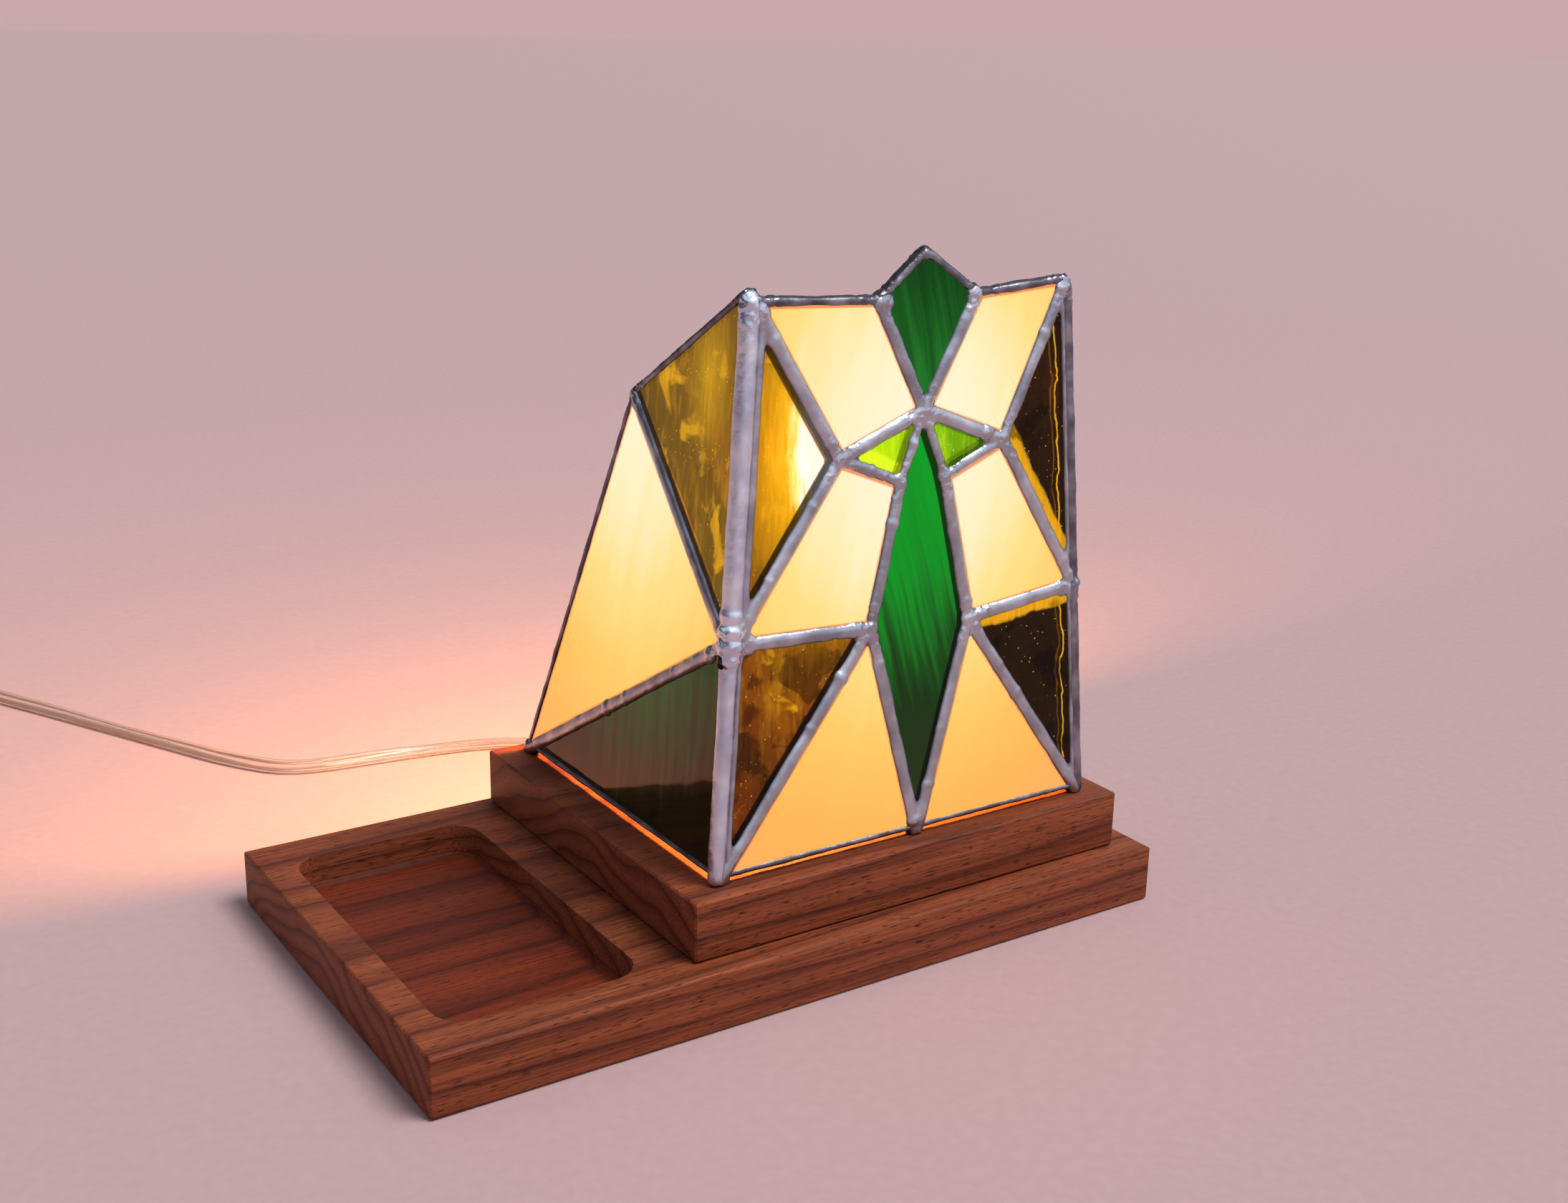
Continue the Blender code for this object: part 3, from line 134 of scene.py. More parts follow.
def copyNode(nodeName, pieceName, flatten=True):  # a merged copy of a CAD node, free to be worked on
    piece = bpy.data.objects.new(pieceName, nodes[nodeName].data.copy())
    scene.collection.objects.link(piece)
    pick(piece)
    bpy.ops.mesh.customdata_custom_splitnormals_clear()
    bpy.ops.object.mode_set(mode="EDIT")
    bpy.ops.mesh.select_all(action="SELECT")
    bpy.ops.mesh.remove_doubles(threshold=1e-6)
    if flatten:
        bpy.ops.mesh.dissolve_limited(angle_limit=math.radians(0.5))
    bpy.ops.object.mode_set(mode="OBJECT")
    return piece


def smoothOver(piece, degrees):
    pick(piece)
    bpy.ops.object.shade_smooth_by_angle(angle=math.radians(degrees))


def turnPiece(name, outline, sides=64, place=None):
    # a ring is extruded and resized along (radius, height) points, back to where it started
    bpy.ops.object.select_all(action="DESELECT")
    radius, height = outline[0]
    bpy.ops.mesh.primitive_circle_add(vertices=sides, radius=radius, location=(0, 0, height))
    piece = bpy.context.object
    piece.name = piece.data.name = name
    bpy.ops.object.transform_apply(location=True)
    bpy.ops.object.mode_set(mode="EDIT")
    bpy.ops.mesh.select_mode(type="VERT")
    bpy.ops.mesh.select_all(action="SELECT")
    for (r0, z0), (r1, z1) in zip(outline, outline[1:] + outline[:1]):
        bpy.ops.mesh.extrude_region_move(TRANSFORM_OT_translate={"value": (0, 0, z1 - z0)})
        bpy.ops.transform.resize(value=(r1 / r0, r1 / r0, 1), center_override=(0, 0, z1))
    bpy.ops.mesh.select_all(action="SELECT")
    bpy.ops.mesh.remove_doubles(threshold=1e-6)
    bpy.ops.mesh.normals_make_consistent(inside=False)
    bpy.ops.object.mode_set(mode="OBJECT")
    if place:
        piece.matrix_world = place
        bpy.ops.object.transform_apply(location=True, rotation=True)
    smoothOver(piece, 35)
    return piece


def dress(piece, material, body, slot, *replaced):
    piece.data.materials.clear()
    piece.data.materials.append(material)
    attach(piece, body)
    if replaced:
        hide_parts(*replaced)


# Camera, solved from the boards' corners
photoCamera = {
    "place": (-0.2978534, -0.4921019, 0.2826968),
    "right": (0.83521761, -0.54955906, 0.01990929),
    "up": (0.14553194, 0.25580214, 0.95571215),
    "back": (-0.53031311, -0.79533019, 0.29362885),
    "lens": 43.04,
    "sensor": 36,
}
cameraData = bpy.data.cameras.new("photoCamera")
cameraData.sensor_fit = "HORIZONTAL"
cameraData.sensor_width = photoCamera["sensor"]
cameraData.lens = photoCamera["lens"]
camera = bpy.data.objects.new("photoCamera", cameraData)
scene.collection.objects.link(camera)
cameraTurn = Matrix((photoCamera["right"], photoCamera["up"], photoCamera["back"])).transposed()
camera.matrix_world = Matrix.Translation(photoCamera["place"]) @ cameraTurn.to_4x4()
scene.camera = camera
print("camera set")


# Clear PVC, extruded: glassy and slightly yellow, so the copper shows through it
clearPvc, addTo, shader, place = startMaterial("clearPvc", {
    "Base Color": hexColor("#FFF9F0"), "Roughness": 0.08, "IOR": 1.45, "Transmission Weight": 0.9,
})
dieLines = addTo("TexNoise", {"Vector": place, "Scale": 420, "Detail": 2})
ripple = addTo("Bump", {"Height": dieLines, "Strength": 0.25, "Distance": 0.0002})
setInputs(shader, {"Normal": ripple})

# Bunched copper strands: bright twisted threads about 0.25 mm wide, drawn at 0.6 mm to show, each painted light
# on its crest and dark in its groove
copperStrands, addTo, shader, place = startMaterial("bunchedCopper", {"Metallic": 1.0, "Roughness": 0.3})
strandMap = addTo("UVMap", uv_map="lead")
strandSplit = addTo("SeparateXYZ", {"Vector": strandMap})
strandTurn = addTo("Math", {
    0: strandSplit.outputs["X"], 1: 1.2, 2: strandSplit.outputs["Y"],
}, operation="MULTIPLY_ADD")
strandWave = addTo("Math", {0: strandTurn, 1: 12 * math.pi}, operation="MULTIPLY")
strandHeight = addTo("Math", {0: strandWave}, operation="SINE")
strandSpan = addTo("MapRange", {"Value": strandHeight, "From Min": -1.0})
# painted highlight and shade: pale on each thread's crest, dark in the grooves between
strandLitColor = addTo("ValToRGB", {"Fac": strandSpan}, [(0.0, "#B98458"), (0.5, "#ECC49A"), (1.0, "#FFEAD0")])
strandBump = addTo("Bump", {"Height": strandSpan, "Strength": 0.6, "Distance": 0.0002})
setInputs(shader, {"Base Color": strandLitColor, "Normal": strandBump})

# Lead: clear flat twin flex, out of the back, along the table, into a tied coil
lead = {
    "start": (0.03845, 0.0732, 0.0253),
    "nose": (0.03845, 0.0890, 0.0253),
    "route": [
        (0.0384, 0.1000, 0.0250), (0.0375, 0.1120, 0.0224), (0.0345, 0.1250, 0.0168),
        (0.0290, 0.1370, 0.0106), (0.0215, 0.1475, 0.0058), (0.0125, 0.1560, 0.0035),
        (0.0020, 0.1620, 0.0028), (-0.0120, 0.1666, 0.0028), (-0.0280, 0.1696, 0.0028),
        (-0.0450, 0.1716, 0.0028), (-0.0610, 0.1732, 0.0028), (-0.0740, 0.1757, 0.0028),
        (-0.0842, 0.1810, 0.0028), (-0.0922, 0.1908, 0.0028), (-0.1005, 0.2045, 0.0028),
        (-0.1100, 0.2230, 0.0028), (-0.1195, 0.2420, 0.0028), (-0.1290, 0.2605, 0.0028),
        (-0.1386, 0.2793, 0.0029), (-0.1485, 0.2980, 0.0033), (-0.1590, 0.3173, 0.0038),
    ],
    "coilCenter": (-0.2070, 0.3180),
    "coilRadius": 0.0330,
    "coilPitch": 0.0061,
    "coilTurns": 2.96,
    "coilClimb": 0.5,
    "coilStart": math.radians(28),
    "loopPoints": 72,
    "tieAngle": math.radians(265),
    "tieLift": 0.0013,
    "tieSpread": 0.4,  # radians either side of the tie where the turns are lifted
    "coilRoll": (1.05, 0.12, 5.3),  # how far the flex is rolled in the coil, and how that sways along it
    "tableGap": 0.00003,
    "layerGap": 0.0002,
    "landing": (0.012, 0.008),  # height at which the flex starts to settle on the table, and over what fall
    "tailLength": 0.045,
    "tailStart": (0.003, 0.008),
    "plugReach": (-0.005, 0.004),
    "plugHeight": 0.0073,
    "width": 0.0055,
    "lobe": 0.00138,  # radius of one insulated core
    "apart": 0.00137,  # core's middle from the flex's middle
    "lobeArc": 125,
    "groove": 0.66,
    "copper": 0.00042,
    "step": 0.0025,
    # share of the run, and how far the flat flex is rolled there, in radians
    "roll": [(0, 0), (0.15, 0.1), (0.35, 0.3), (0.46, 1.0), (0.54, 1.2), (0.62, 0.6), (0.75, 0.2),
             (0.9, 0.6), (1.0, 1.05)],
}


def smoothPath(points, step):
    knots = [Vector(p) for p in points]
    ends = [2 * knots[0] - knots[1], *knots, 2 * knots[-1] - knots[-2]]
    found = [knots[0]]
    for before, start, end, after in zip(ends, ends[1:], ends[2:], ends[3:]):
        parts = max(1, round((end - start).length / step))
        for i in range(1, parts + 1):
            t = i / parts
            found.append(0.5 * (
                2 * start + (end - before) * t + (2 * before - 5 * start + 4 * end - after) * t**2
                + (3 * start - before - 3 * end + after) * t**3
            ))
    return found


def ease(t):
    t = min(max(t, 0), 1)
    return t * t * (3 - 2 * t)


def rollAt(share):
    for (a, rollA), (b, rollB) in zip(lead["roll"], lead["roll"][1:]):
        if share <= b:
            return rollA + (rollB - rollA) * ease((share - a) / (b - a))
    return lead["roll"][-1][1]


def restHeight(roll):  # middle of the rolled flex when it lies on the table
    return lead["lobe"] + lead["apart"] * abs(math.sin(roll))


def leadPath():
    pitch, turns, climb = lead["coilPitch"], lead["coilTurns"], lead["coilClimb"]
    outer = lead["coilRadius"] + pitch * turns / 2
    inner = outer - pitch * turns
    total = 2 * turns + climb
    tilt, swing, rate = lead["coilRoll"]
    count = round(total * lead["loopPoints"])
    coil = []
    for i in range(count + 1):
        turn = total * i / count
        rise = ease((turn - turns) / climb)
        past = turn - turns
        if past <= 0:
            radius = outer - pitch * turn
        elif past < climb:
            radius = inner - pitch * past * (1 - past / climb)
        else:
            radius = inner + pitch * (past - climb)
        angle = lead["coilStart"] + 2 * math.pi * turn
        roll = tilt + swing * math.sin(turn * rate)
        off = (angle - lead["tieAngle"] + math.pi) % (2 * math.pi) - math.pi
        lift = lead["tieLift"] * math.exp(-(off / lead["tieSpread"]) ** 2)
        low = restHeight(roll) + lead["tableGap"] + lift
        high = low + 2 * restHeight(roll) + lead["layerGap"]
        x, y = lead["coilCenter"]
        coil.append((Vector((
            x + radius * math.cos(angle), y + radius * math.sin(angle), low + (high - low) * rise
        )), roll))
    heading = Vector((-math.sin(lead["coilStart"]), math.cos(lead["coilStart"]), 0))
    endAngle = lead["coilStart"] + 2 * math.pi * total
    leave = Vector((-math.sin(endAngle), math.cos(endAngle), 0))
    gate = coil[0][0] - heading * lead["width"]
    runKnots = [lead["start"], lead["nose"], *lead["route"], gate - heading * lead["width"], gate]
    run = smoothPath(runKnots, lead["step"])
    shares = [0.0]
    for a, b in zip(run, run[1:]):
        shares.append(shares[-1] + (b - a).length)
    landTop, landFall = lead["landing"]
    path = []
    for point, share in zip(run, shares):
        roll = rollAt(share / shares[-1])
        down = ease((landTop - point.z) / landFall)
        point.z += (restHeight(roll) + lead["tableGap"] - point.z) * down
        path.append((point, roll))
    coilEnd, endRoll = coil[-1]
    plugEnd = coilEnd + leave * lead["tailLength"]
    plugEnd.z = lead["plugHeight"]
    tailKnots = [coilEnd + leave * far for far in lead["tailStart"]]
    tailKnots += [coilEnd.lerp(plugEnd, 0.5), *(plugEnd + leave * far for far in lead["plugReach"])]
    tail = smoothPath(tailKnots, lead["step"])
    path += coil
    for i, point in enumerate(tail):
        path.append((point, endRoll * (1 - ease(i / (len(tail) - 1)))))
    return path


def leadTube(name, path, section):
    # one ring of the section for each point of the path, upright on its heading
    verts, faces, runs = [], [], []
    gone = 0.0
    for i, (point, roll) in enumerate(path):
        before, after = path[max(i - 1, 0)][0], path[min(i + 1, len(path) - 1)][0]
        along = (after - before).normalized()
        side = along.cross(Vector((0, 0, 1))).normalized()
        up = side.cross(along)
        gone += (point - before).length
        runs.append(gone)
        for a, b in section:
            verts.append(point + side * (a * math.cos(roll) - b * math.sin(roll))
                         + up * (a * math.sin(roll) + b * math.cos(roll)))
    count = len(section)
    for i in range(len(path) - 1):
        for k in range(count):
            j = (k + 1) % count
            faces.append((i * count + k, i * count + j, (i + 1) * count + j, (i + 1) * count + k))
    faces += [tuple(range(count - 1, -1, -1)), tuple(range(len(verts) - count, len(verts)))]
    mesh = bpy.data.meshes.new(name)
    mesh.from_pydata(verts, [], faces)
    layer = mesh.uv_layers.new(name="lead")
    for face in mesh.polygons:
        spots = [mesh.loops[l].vertex_index for l in face.loop_indices]
        last = len(spots) == 4 and {s % count for s in spots} == {0, count - 1}
        for l, s in zip(face.loop_indices, spots):
            around = 1.0 if last and s % count == 0 else (s % count) / count
            layer.data[l].uv = (runs[s // count] * 100, around)
    piece = bpy.data.objects.new(name, mesh)
    scene.collection.objects.link(piece)
    pick(piece)
    bpy.ops.object.mode_set(mode="EDIT")
    bpy.ops.mesh.select_all(action="SELECT")
    bpy.ops.mesh.normals_make_consistent(inside=False)
    bpy.ops.object.mode_set(mode="OBJECT")
    bpy.ops.object.shade_smooth()
    return piece


def flexSection():
    arc = [math.radians(-lead["lobeArc"] + 2 * lead["lobeArc"] * i / 8) for i in range(9)]
    right = [(lead["apart"] + lead["lobe"] * math.cos(a), lead["lobe"] * math.sin(a)) for a in arc]
    left = [(-x, -y) for x, y in right]
    groove = lead["lobe"] * lead["groove"]
    return right + [(0, groove)] + left + [(0, -groove)]


def coreSection(side):
    turns = [2 * math.pi * i / 10 for i in range(10)]
    radius = lead["copper"]
    return [(side * lead["apart"] + radius * math.cos(a), radius * math.sin(a)) for a in turns]


flexPath = leadPath()
flexJacket = leadTube("flex_jacket", flexPath, flexSection())
flexCores = []
for end, side in (("left", -1), ("right", 1)):
    flexCores.append(leadTube("flex_core_" + end, flexPath, coreSection(side)))
dress(flexJacket, clearPvc, "base", "clear_pvc", "cord_run", "cord_coil", "cord_tail")
for core in flexCores:
    dress(core, copperStrands, "base", "brass")
flexLength = sum((b[0] - a[0]).length for a, b in zip(flexPath, flexPath[1:]))
print(f"lead laid, {flexLength:.3f} m")

# Nitrile rubber, moulded: near black, dull, faintly grained
blackRubber = makeGrained("mouldedRubber", {"Specular IOR Level": 0.4}, (1800, 3), [
    (0.3, "#161515"), (0.7, "#242221")], rough=(0.5, 0.72), relief=(0.3, 0.0001))

# Strain relief: flange on the plinth's back and a ribbed, tapered nose
strainRelief = {
    "middle": (0.03845, 0.0732, 0.0253), "bore": 0.00305, "sunk": 0.0100, "barrel": 0.0046,
    "flange": 0.0058, "ribs": 5, "firstRib": 0.0031, "ribStep": 0.0025, "ribTaper": 0.00018, "noseEnd": 0.0158,
    # (radius, height) steps from the flange's edge, from a rib's crest and along the nose's end
    "flangeSteps": [(-0.0003, 0.0003), (0, 0.0006), (0, 0.0014), (-0.0004, 0.0018)],
    "ribSteps": [(-0.0005, 0), (0, 0.0002), (-0.00005, 0.0014), (-0.00055, 0.0016)],
    "noseSteps": [(0.0036, -0.0003), (0.0034, 0)],
}


def makeStrainRelief():
    s = strainRelief
    outline = [(s["bore"], -s["sunk"]), (s["barrel"], -s["sunk"]), (s["barrel"], s["flangeSteps"][0][1])]
    outline += [(s["flange"] + r, y) for r, y in s["flangeSteps"]]
    outline.append((s["barrel"] - 0.0002, 0.0021))
    for i in range(s["ribs"]):
        y = s["firstRib"] + i * s["ribStep"]
        radius = s["barrel"] - s["ribTaper"] * i
        outline += [(radius + r, y + rise) for r, rise in s["ribSteps"]]
    outline += [(r, s["noseEnd"] + rise) for r, rise in s["noseSteps"]]
    outline.append((s["bore"], s["noseEnd"]))
    turn = Matrix.Translation(s["middle"]) @ Matrix.Rotation(-math.pi / 2, 4, "X")
    return turnPiece("strain_relief", outline, 32, turn)


relief = makeStrainRelief()
dress(relief, blackRubber, "base", "black_rubber", "cord_grommet")

# Tie: a flat rubber band with softened edges
coilTie = copyNode("cord_tie", "coil_tie")
roundEdges(coilTie, 0.00025, 50)
smoothOver(coilTie, 40)
dress(coilTie, blackRubber, "base", "black_rubber", "cord_tie")

# Plug: moulded in the flex's own PVC, corners rounded over
plug = copyNode("plug_body", "flex_plug")
applyModifier(plug, "SUBSURF", levels=2, render_levels=2)
smoothOver(plug, 60)
plugPvc = makeGrained("mouldedPvc", {"Roughness": 0.25, "IOR": 1.53, "Transmission Weight": 0.35}, (160, 2), [
    (0.3, "#C9A987"), (0.7, "#E2CBAE")])
dress(plug, plugPvc, "base", "clear_pvc", "plug_body")
print("plug, tie and strain relief made")


# Floor and light
studio = {
    "floor": ("#C6A9AA", "#CAADAE"), "size": 60,
    "key": {"strength": 2.5, "color": "#FFF8F6", "from": (0.36, -0.44, 1.0), "soft": 30},
    "ambient": 0.30, "ambientColor": "#E8ECFA",
    "mirrored": (0.10, 1.1),  # what metal and glass mirror, away from the key light and towards it
    "backdrop": "#C8A8AA",
}
bpy.ops.object.select_all(action="DESELECT")
bpy.ops.mesh.primitive_plane_add(size=studio["size"], location=(0, 0, -0.0002))
floor = bpy.context.object
floor.name = "floor"
# Matt paper: pale and even, with a trace of mottling
paper = makeGrained("mattPaper", {"Roughness": 0.75, "Specular IOR Level": 0.25}, (260, 2), [
    (0.35, studio["floor"][0]), (0.65, studio["floor"][1])])
floor.data.materials.append(paper)

keyData = bpy.data.lights.new("keyLight", "SUN")
keyData.energy = studio["key"]["strength"]
keyData.color = hexColor(studio["key"]["color"])[:3]
keyData.angle = math.radians(studio["key"]["soft"])
keyLight = bpy.data.objects.new("keyLight", keyData)
scene.collection.objects.link(keyLight)
keyLight.rotation_euler = Vector(studio["key"]["from"]).to_track_quat("Z", "Y").to_euler()

world = bpy.data.worlds.new("studioWorld")
scene.world = world
world.use_nodes = True
sky = world.node_tree.nodes["Background"]
addTo = functools.partial(addNode, world.node_tree)
ray = addTo("LightPath")
skyward = addTo("TexCoord").outputs["Generated"]
towardKey = addTo("VectorMath", {
    0: skyward, 1: Vector(studio["key"]["from"]).normalized(),
}, operation="DOT_PRODUCT")
mirrored = addTo("MapRange", {
    "Value": towardKey, "From Min": -0.2, "From Max": 0.85, "To Min": studio["mirrored"][0],
    "To Max": studio["mirrored"][1],
}, interpolation_type="SMOOTHSTEP")
level = addTo("Mix", {"Factor": ray.outputs["Is Glossy Ray"], 2: studio["ambient"], 3: mirrored}, data_type="FLOAT")
seen = addTo("Math", {0: ray.outputs["Is Camera Ray"], 1: ray.outputs["Is Transmission Ray"]}, operation="MAXIMUM")
seenLevel = addTo("Mix", {"Factor": seen, 2: level, 3: 1.0}, data_type="FLOAT")
seenColor = addTo("Mix", {
    "Factor": seen, 6: hexColor(studio["ambientColor"]), 7: hexColor(studio["backdrop"]),
}, data_type="RGBA")
setInputs(sky, {"Strength": seenLevel, "Color": seenColor})
print("floor and light set")


# Black walnut, planed and oiled: brown growth bands along the board, fine fibres and short dark pores
walnut = {
    "bands": [(0.0, "#804128"), (0.4, "#924D2F"), (0.75, "#7C3E26"), (0.93, "#5C2B1A"), (1.0, "#804128")],
    "heart": (0, 0.012, -0.085),  # middle of the tree, below the board
    "bandMm": 7, "swayMm": 9, "fibreMm": (32, 0.7), "poreMm": (5, 0.42), "pore": "#34170D",
    "routed": "#D9AC99", "routedBelow": 0.016,  # painted shade on the tray's recessed floor, and the height below which it is darkened
}


def makeWalnut(name, shift):
    material, addTo, shader, place = startMaterial(name, {"Specular IOR Level": 0.2})
    height = addTo("SeparateXYZ", {"Vector": place}).outputs["Z"]
    place = addTo("Mapping", {"Vector": place, "Location": shift})
    drawn = addTo("Mapping", {"Vector": place, "Scale": (0.09, 1, 1)})
    sway = addTo("TexNoise", {"Vector": drawn, "Scale": 20, "Detail": 2})
    parts = addTo("SeparateXYZ", {"Vector": place})
    flat = addTo("CombineXYZ", {"Y": parts.outputs["Y"], "Z": parts.outputs["Z"]})
    away = addTo("VectorMath", {0: flat, 1: walnut["heart"]}, operation="DISTANCE")
    swayed = addTo("Math", {0: sway, 1: walnut["swayMm"] / 1000 * 3, 2: away}, operation="MULTIPLY_ADD")
    counted = addTo("Math", {0: swayed, 1: walnut["bandMm"] / 1000}, operation="DIVIDE")
    band = addTo("Math", {0: counted}, operation="FRACT")
    bandColor = addTo("ValToRGB", {"Fac": band}, walnut["bands"])
    longMm, wideMm = walnut["fibreMm"]
    fibreMap = addTo("Mapping", {"Vector": place, "Scale": (1000 / longMm, 1000 / wideMm, 1000 / wideMm)})
    fibre = addTo("TexNoise", {"Vector": fibreMap, "Scale": 1, "Detail": 3})
    fibreShade = addTo("MapRange", {
        "Value": fibre, "From Min": 0.25, "From Max": 0.75, "To Min": 0.54, "To Max": 1.48,
    })
    fibred = addTo("VectorMath", {0: bandColor, "Scale": fibreShade}, operation="SCALE")
    longMm, wideMm = walnut["poreMm"]
    poreMap = addTo("Mapping", {"Vector": place, "Scale": (1000 / longMm, 1000 / wideMm, 1000 / wideMm)})
    pore = addTo("TexNoise", {"Vector": poreMap, "Scale": 1, "Detail": 1})
    poreMask = addTo("ValToRGB", {"Fac": pore}, [(0.60, "#000000"), (0.70, "#FFFFFF")])
    colored = addTo("Mix", {"Factor": poreMask, 6: fibred, 7: hexColor(walnut["pore"])}, data_type="RGBA")
    # painted shade: faces that look up and lie below the board's top, the tray's floor, are darkened
    below = addTo("Math", {0: height, 1: walnut["routedBelow"]}, operation="LESS_THAN")
    facing = addTo("SeparateXYZ", {"Vector": addTo("NewGeometry").outputs["True Normal"]})
    upward = addTo("Math", {0: facing.outputs["Z"], 1: 0.1}, operation="GREATER_THAN")
    routed = addTo("Math", {0: below, 1: upward}, operation="MULTIPLY")
    withTrayShade = addTo("Mix", {
        "Factor": routed, 6: colored, 7: hexColor(walnut["routed"]),
    }, data_type="RGBA", blend_type="MULTIPLY")
    rough = addTo("MapRange", {"Value": fibre, "From Min": 0.3, "From Max": 0.7, "To Min": 0.5, "To Max": 0.66})
    dents = addTo("Math", {0: poreMask, 1: -1.0, 2: fibre}, operation="MULTIPLY_ADD")
    bump = addTo("Bump", {"Height": dents, "Strength": 0.35, "Distance": 0.0002})
    setInputs(shader, {"Base Color": withTrayShade, "Roughness": rough, "Normal": bump})
    return material


boardWalnut = makeWalnut("oiledWalnutBoard", (0, 0, 0))
plinthWalnut = makeWalnut("oiledWalnutPlinth", (0.37, 0.023, 0.031))

# Boards: the solids with their edges rubbed round by hand
woodEdge = 0.0004
for nodeName, pieceName, material in (
    ("base_board", "walnut_board", boardWalnut), ("plinth", "walnut_plinth", plinthWalnut),
):
    piece = copyNode(nodeName, pieceName)
    roundEdges(piece, woodEdge, 40)
    smoothOver(piece, 30)
    dress(piece, material, "base", "walnut", nodeName)
print("walnut boards made")


# Tin-lead solder, run by hand: satin silver-grey along the seams, bright and wrinkled where they meet, and
# dark beside the glass, partly flux patina and partly painted shade in the crease
def makeSolder(name, stops, patchScale, edge):
    material, addTo, shader, place = startMaterial(name, {"Metallic": 1.0})
    patches = addTo("TexNoise", {"Vector": place, "Scale": patchScale, "Detail": 2})
    color = addTo("ValToRGB", {"Fac": patches}, stops)
    # darker where the bead lies close to the glass: flux patina and painted shade in the crease
    crest = addTo("Attribute", attribute_name="crest")
    edged = addTo("Mix", {"Factor": crest.outputs["Fac"], 6: hexColor(edge), 7: color}, data_type="RGBA")
    knot = addTo("Attribute", attribute_name="knot")
    grit = addTo("TexNoise", {"Vector": place, "Scale": 520, "Detail": 2})  # about 2 mm
    satin = addTo("MapRange", {"Value": grit, "From Min": 0.3, "From Max": 0.7, "To Min": 0.28, "To Max": 0.40})
    rough = addTo("Math", {0: knot.outputs["Fac"], 1: -0.12, 2: satin}, operation="MULTIPLY_ADD")
    wrinkled = addTo("MapRange", {"Value": knot.outputs["Fac"], "To Min": 0.3, "To Max": 0.9})
    bump = addTo("Bump", {"Height": grit, "Strength": wrinkled, "Distance": 0.0004})
    setInputs(shader, {"Base Color": edged, "Roughness": rough, "Normal": bump})
    return material


runSolder = makeSolder("runSolder", [
    (0.3, "#9698A2"), (0.5, "#AEB0BA"), (0.7, "#CACCD6")], 95, "#3A373C")  # patches about 10 mm across
# painted light: a lighter copy of the same solder, for the left corner bead
cornerSolder = makeSolder("cornerSolder", [
    (0.3, "#BCC2D4"), (0.5, "#D4DAEC"), (0.7, "#ECF0FA")], 95, "#3A373C")
# Tinned foil of the free edges: thinly coated, so it is dark; on the right corner bead the same finish is painted
# shade
tinnedFoilAndShade = makeSolder("tinnedFoilAndShade", [(0.35, "#646168"), (0.5, "#7C7982"), (0.65, "#9C9AA4")], 120, "#3A363A")

# Shade: where its seams meet, across and up each panel from the middle of its foot
shade = {
    "foot": (0.03885, -0.0597, 0.0388), "lean": 0.0066, "height": 0.1729,
    "footWidth": 0.1414, "topWidth": 0.1145, "leafShift": 0.0029,
    "apex": 0.1829, "shoulder": (0.0186, 0.1694), "shoulderShift": 0.0012, "cross": 0.1350,
    "wing": (0.0307, 0.1233), "neck": (0.0083, 0.1144), "waist": (0.0187, 0.0693), "rail": 0.0726,
    "topSkew": 0.0011, "topDip": 0.0026, "waistSkew": 0.0012,
    "sideFoot": 0.1251, "sideTop": (0.0664, 0.1361),
}
solderBeads = {
    # half width, half thickness and how far the bead's middle lies inside the panel's outline
    "seam": (0.0027, 0.0025, 0), "fine": (0.0021, 0.0024, 0),
    "stripL": (0.0019, 0.0022, 0.0035), "lowStripL": (0.0015, 0.0021, 0.0029),
    "stripR": (0.0012, 0.0021, 0.0020), "lowStripR": (0.0012, 0.0021, 0.0020),
    "free": (0.0016, 0.0022, 0.0008), "rear": (0.0015, 0.0022, 0.0010), "frontFoot": (0.0012, 0.0021, 0.0024),
    "sideFoot": (0.0013, 0.0021, 0.0034),
    "cornerL": (0.0031, 0.0031, 0), "lowCornerL": (0.0027, 0.0027, 0),
    "cornerR": (0.0025, 0.0025, 0), "lowCornerR": (0.0025, 0.0025, 0),
    # half width, half thickness and how far along to the cross
    "shoulderKnot": (0.0031, 0.0026, 0.0022), "knot": (0.0034, 0.0029, 0),
    "railKnotL": (0.0043, 0.0042, 0), "railKnotR": (0.0033, 0.0032, 0),
    "postKnotL": (0.0026, 0.0026, 0), "postKnotR": (0.0023, 0.0023, 0),
    "endKnot": (0.0022, 0.0023, 0.002),  # at the panels' free corners, and how far inwards
    "web": 0.0027, "postDrop": 0.0026,  # flat run of metal beside a joint
    "flatten": 0.78, "dropStep": 0.021, "dropGrow": (0.0, 0.0007),  # small ridges where the iron stopped
    "voxel": 0.0006, "smoothing": 3, "lumpSize": 0.009, "lumpHeight": 0.0006, "wrinkleSize": 0.0019,
    "wrinkleHeight": 0.0011, "wrinkled": (0.005, 0.011),  # wrinkles fade out between these from a joint
    # how near the glass the bead is darkened: flux patina and painted shade
    "glassSkin": 0.0014, "crestRise": 0.0006,
    "webs": [  # metal that ran into the corners: from which joint, towards what, how far, and its radius
        ("topL", "wingL", 0.0055, 0.0038), ("topR", "wingR", 0.0040, 0.0036),
        ("shoulderL", "crown", 0.0032, 0.0038), ("shoulderR", "crown", 0.0020, 0.0034),
        ("railL", "wingL", 0.0050, 0.0044), ("railL", "wingL", 0.0095, 0.0034),
        ("railL", "waistL", 0.0055, 0.0043), ("railL", "footL", 0.0040, 0.0040),
        ("railR", "waistR", 0.0050, 0.0038), ("foot", "cross", 0.0040, 0.0038),
    ],
    "cornerRuns": [(0.004, 0.0040), (0.009, 0.0036), (-0.004, 0.0036)],  # the left joint ran along the corner
}


def halfWidth(height):
    return (shade["footWidth"] + (shade["topWidth"] - shade["footWidth"]) * height / shade["height"]) / 2


def frontSpot(across, height):
    x, y, z = shade["foot"]
    return Vector((x + across, y + shade["lean"] * height / shade["height"], z + height))


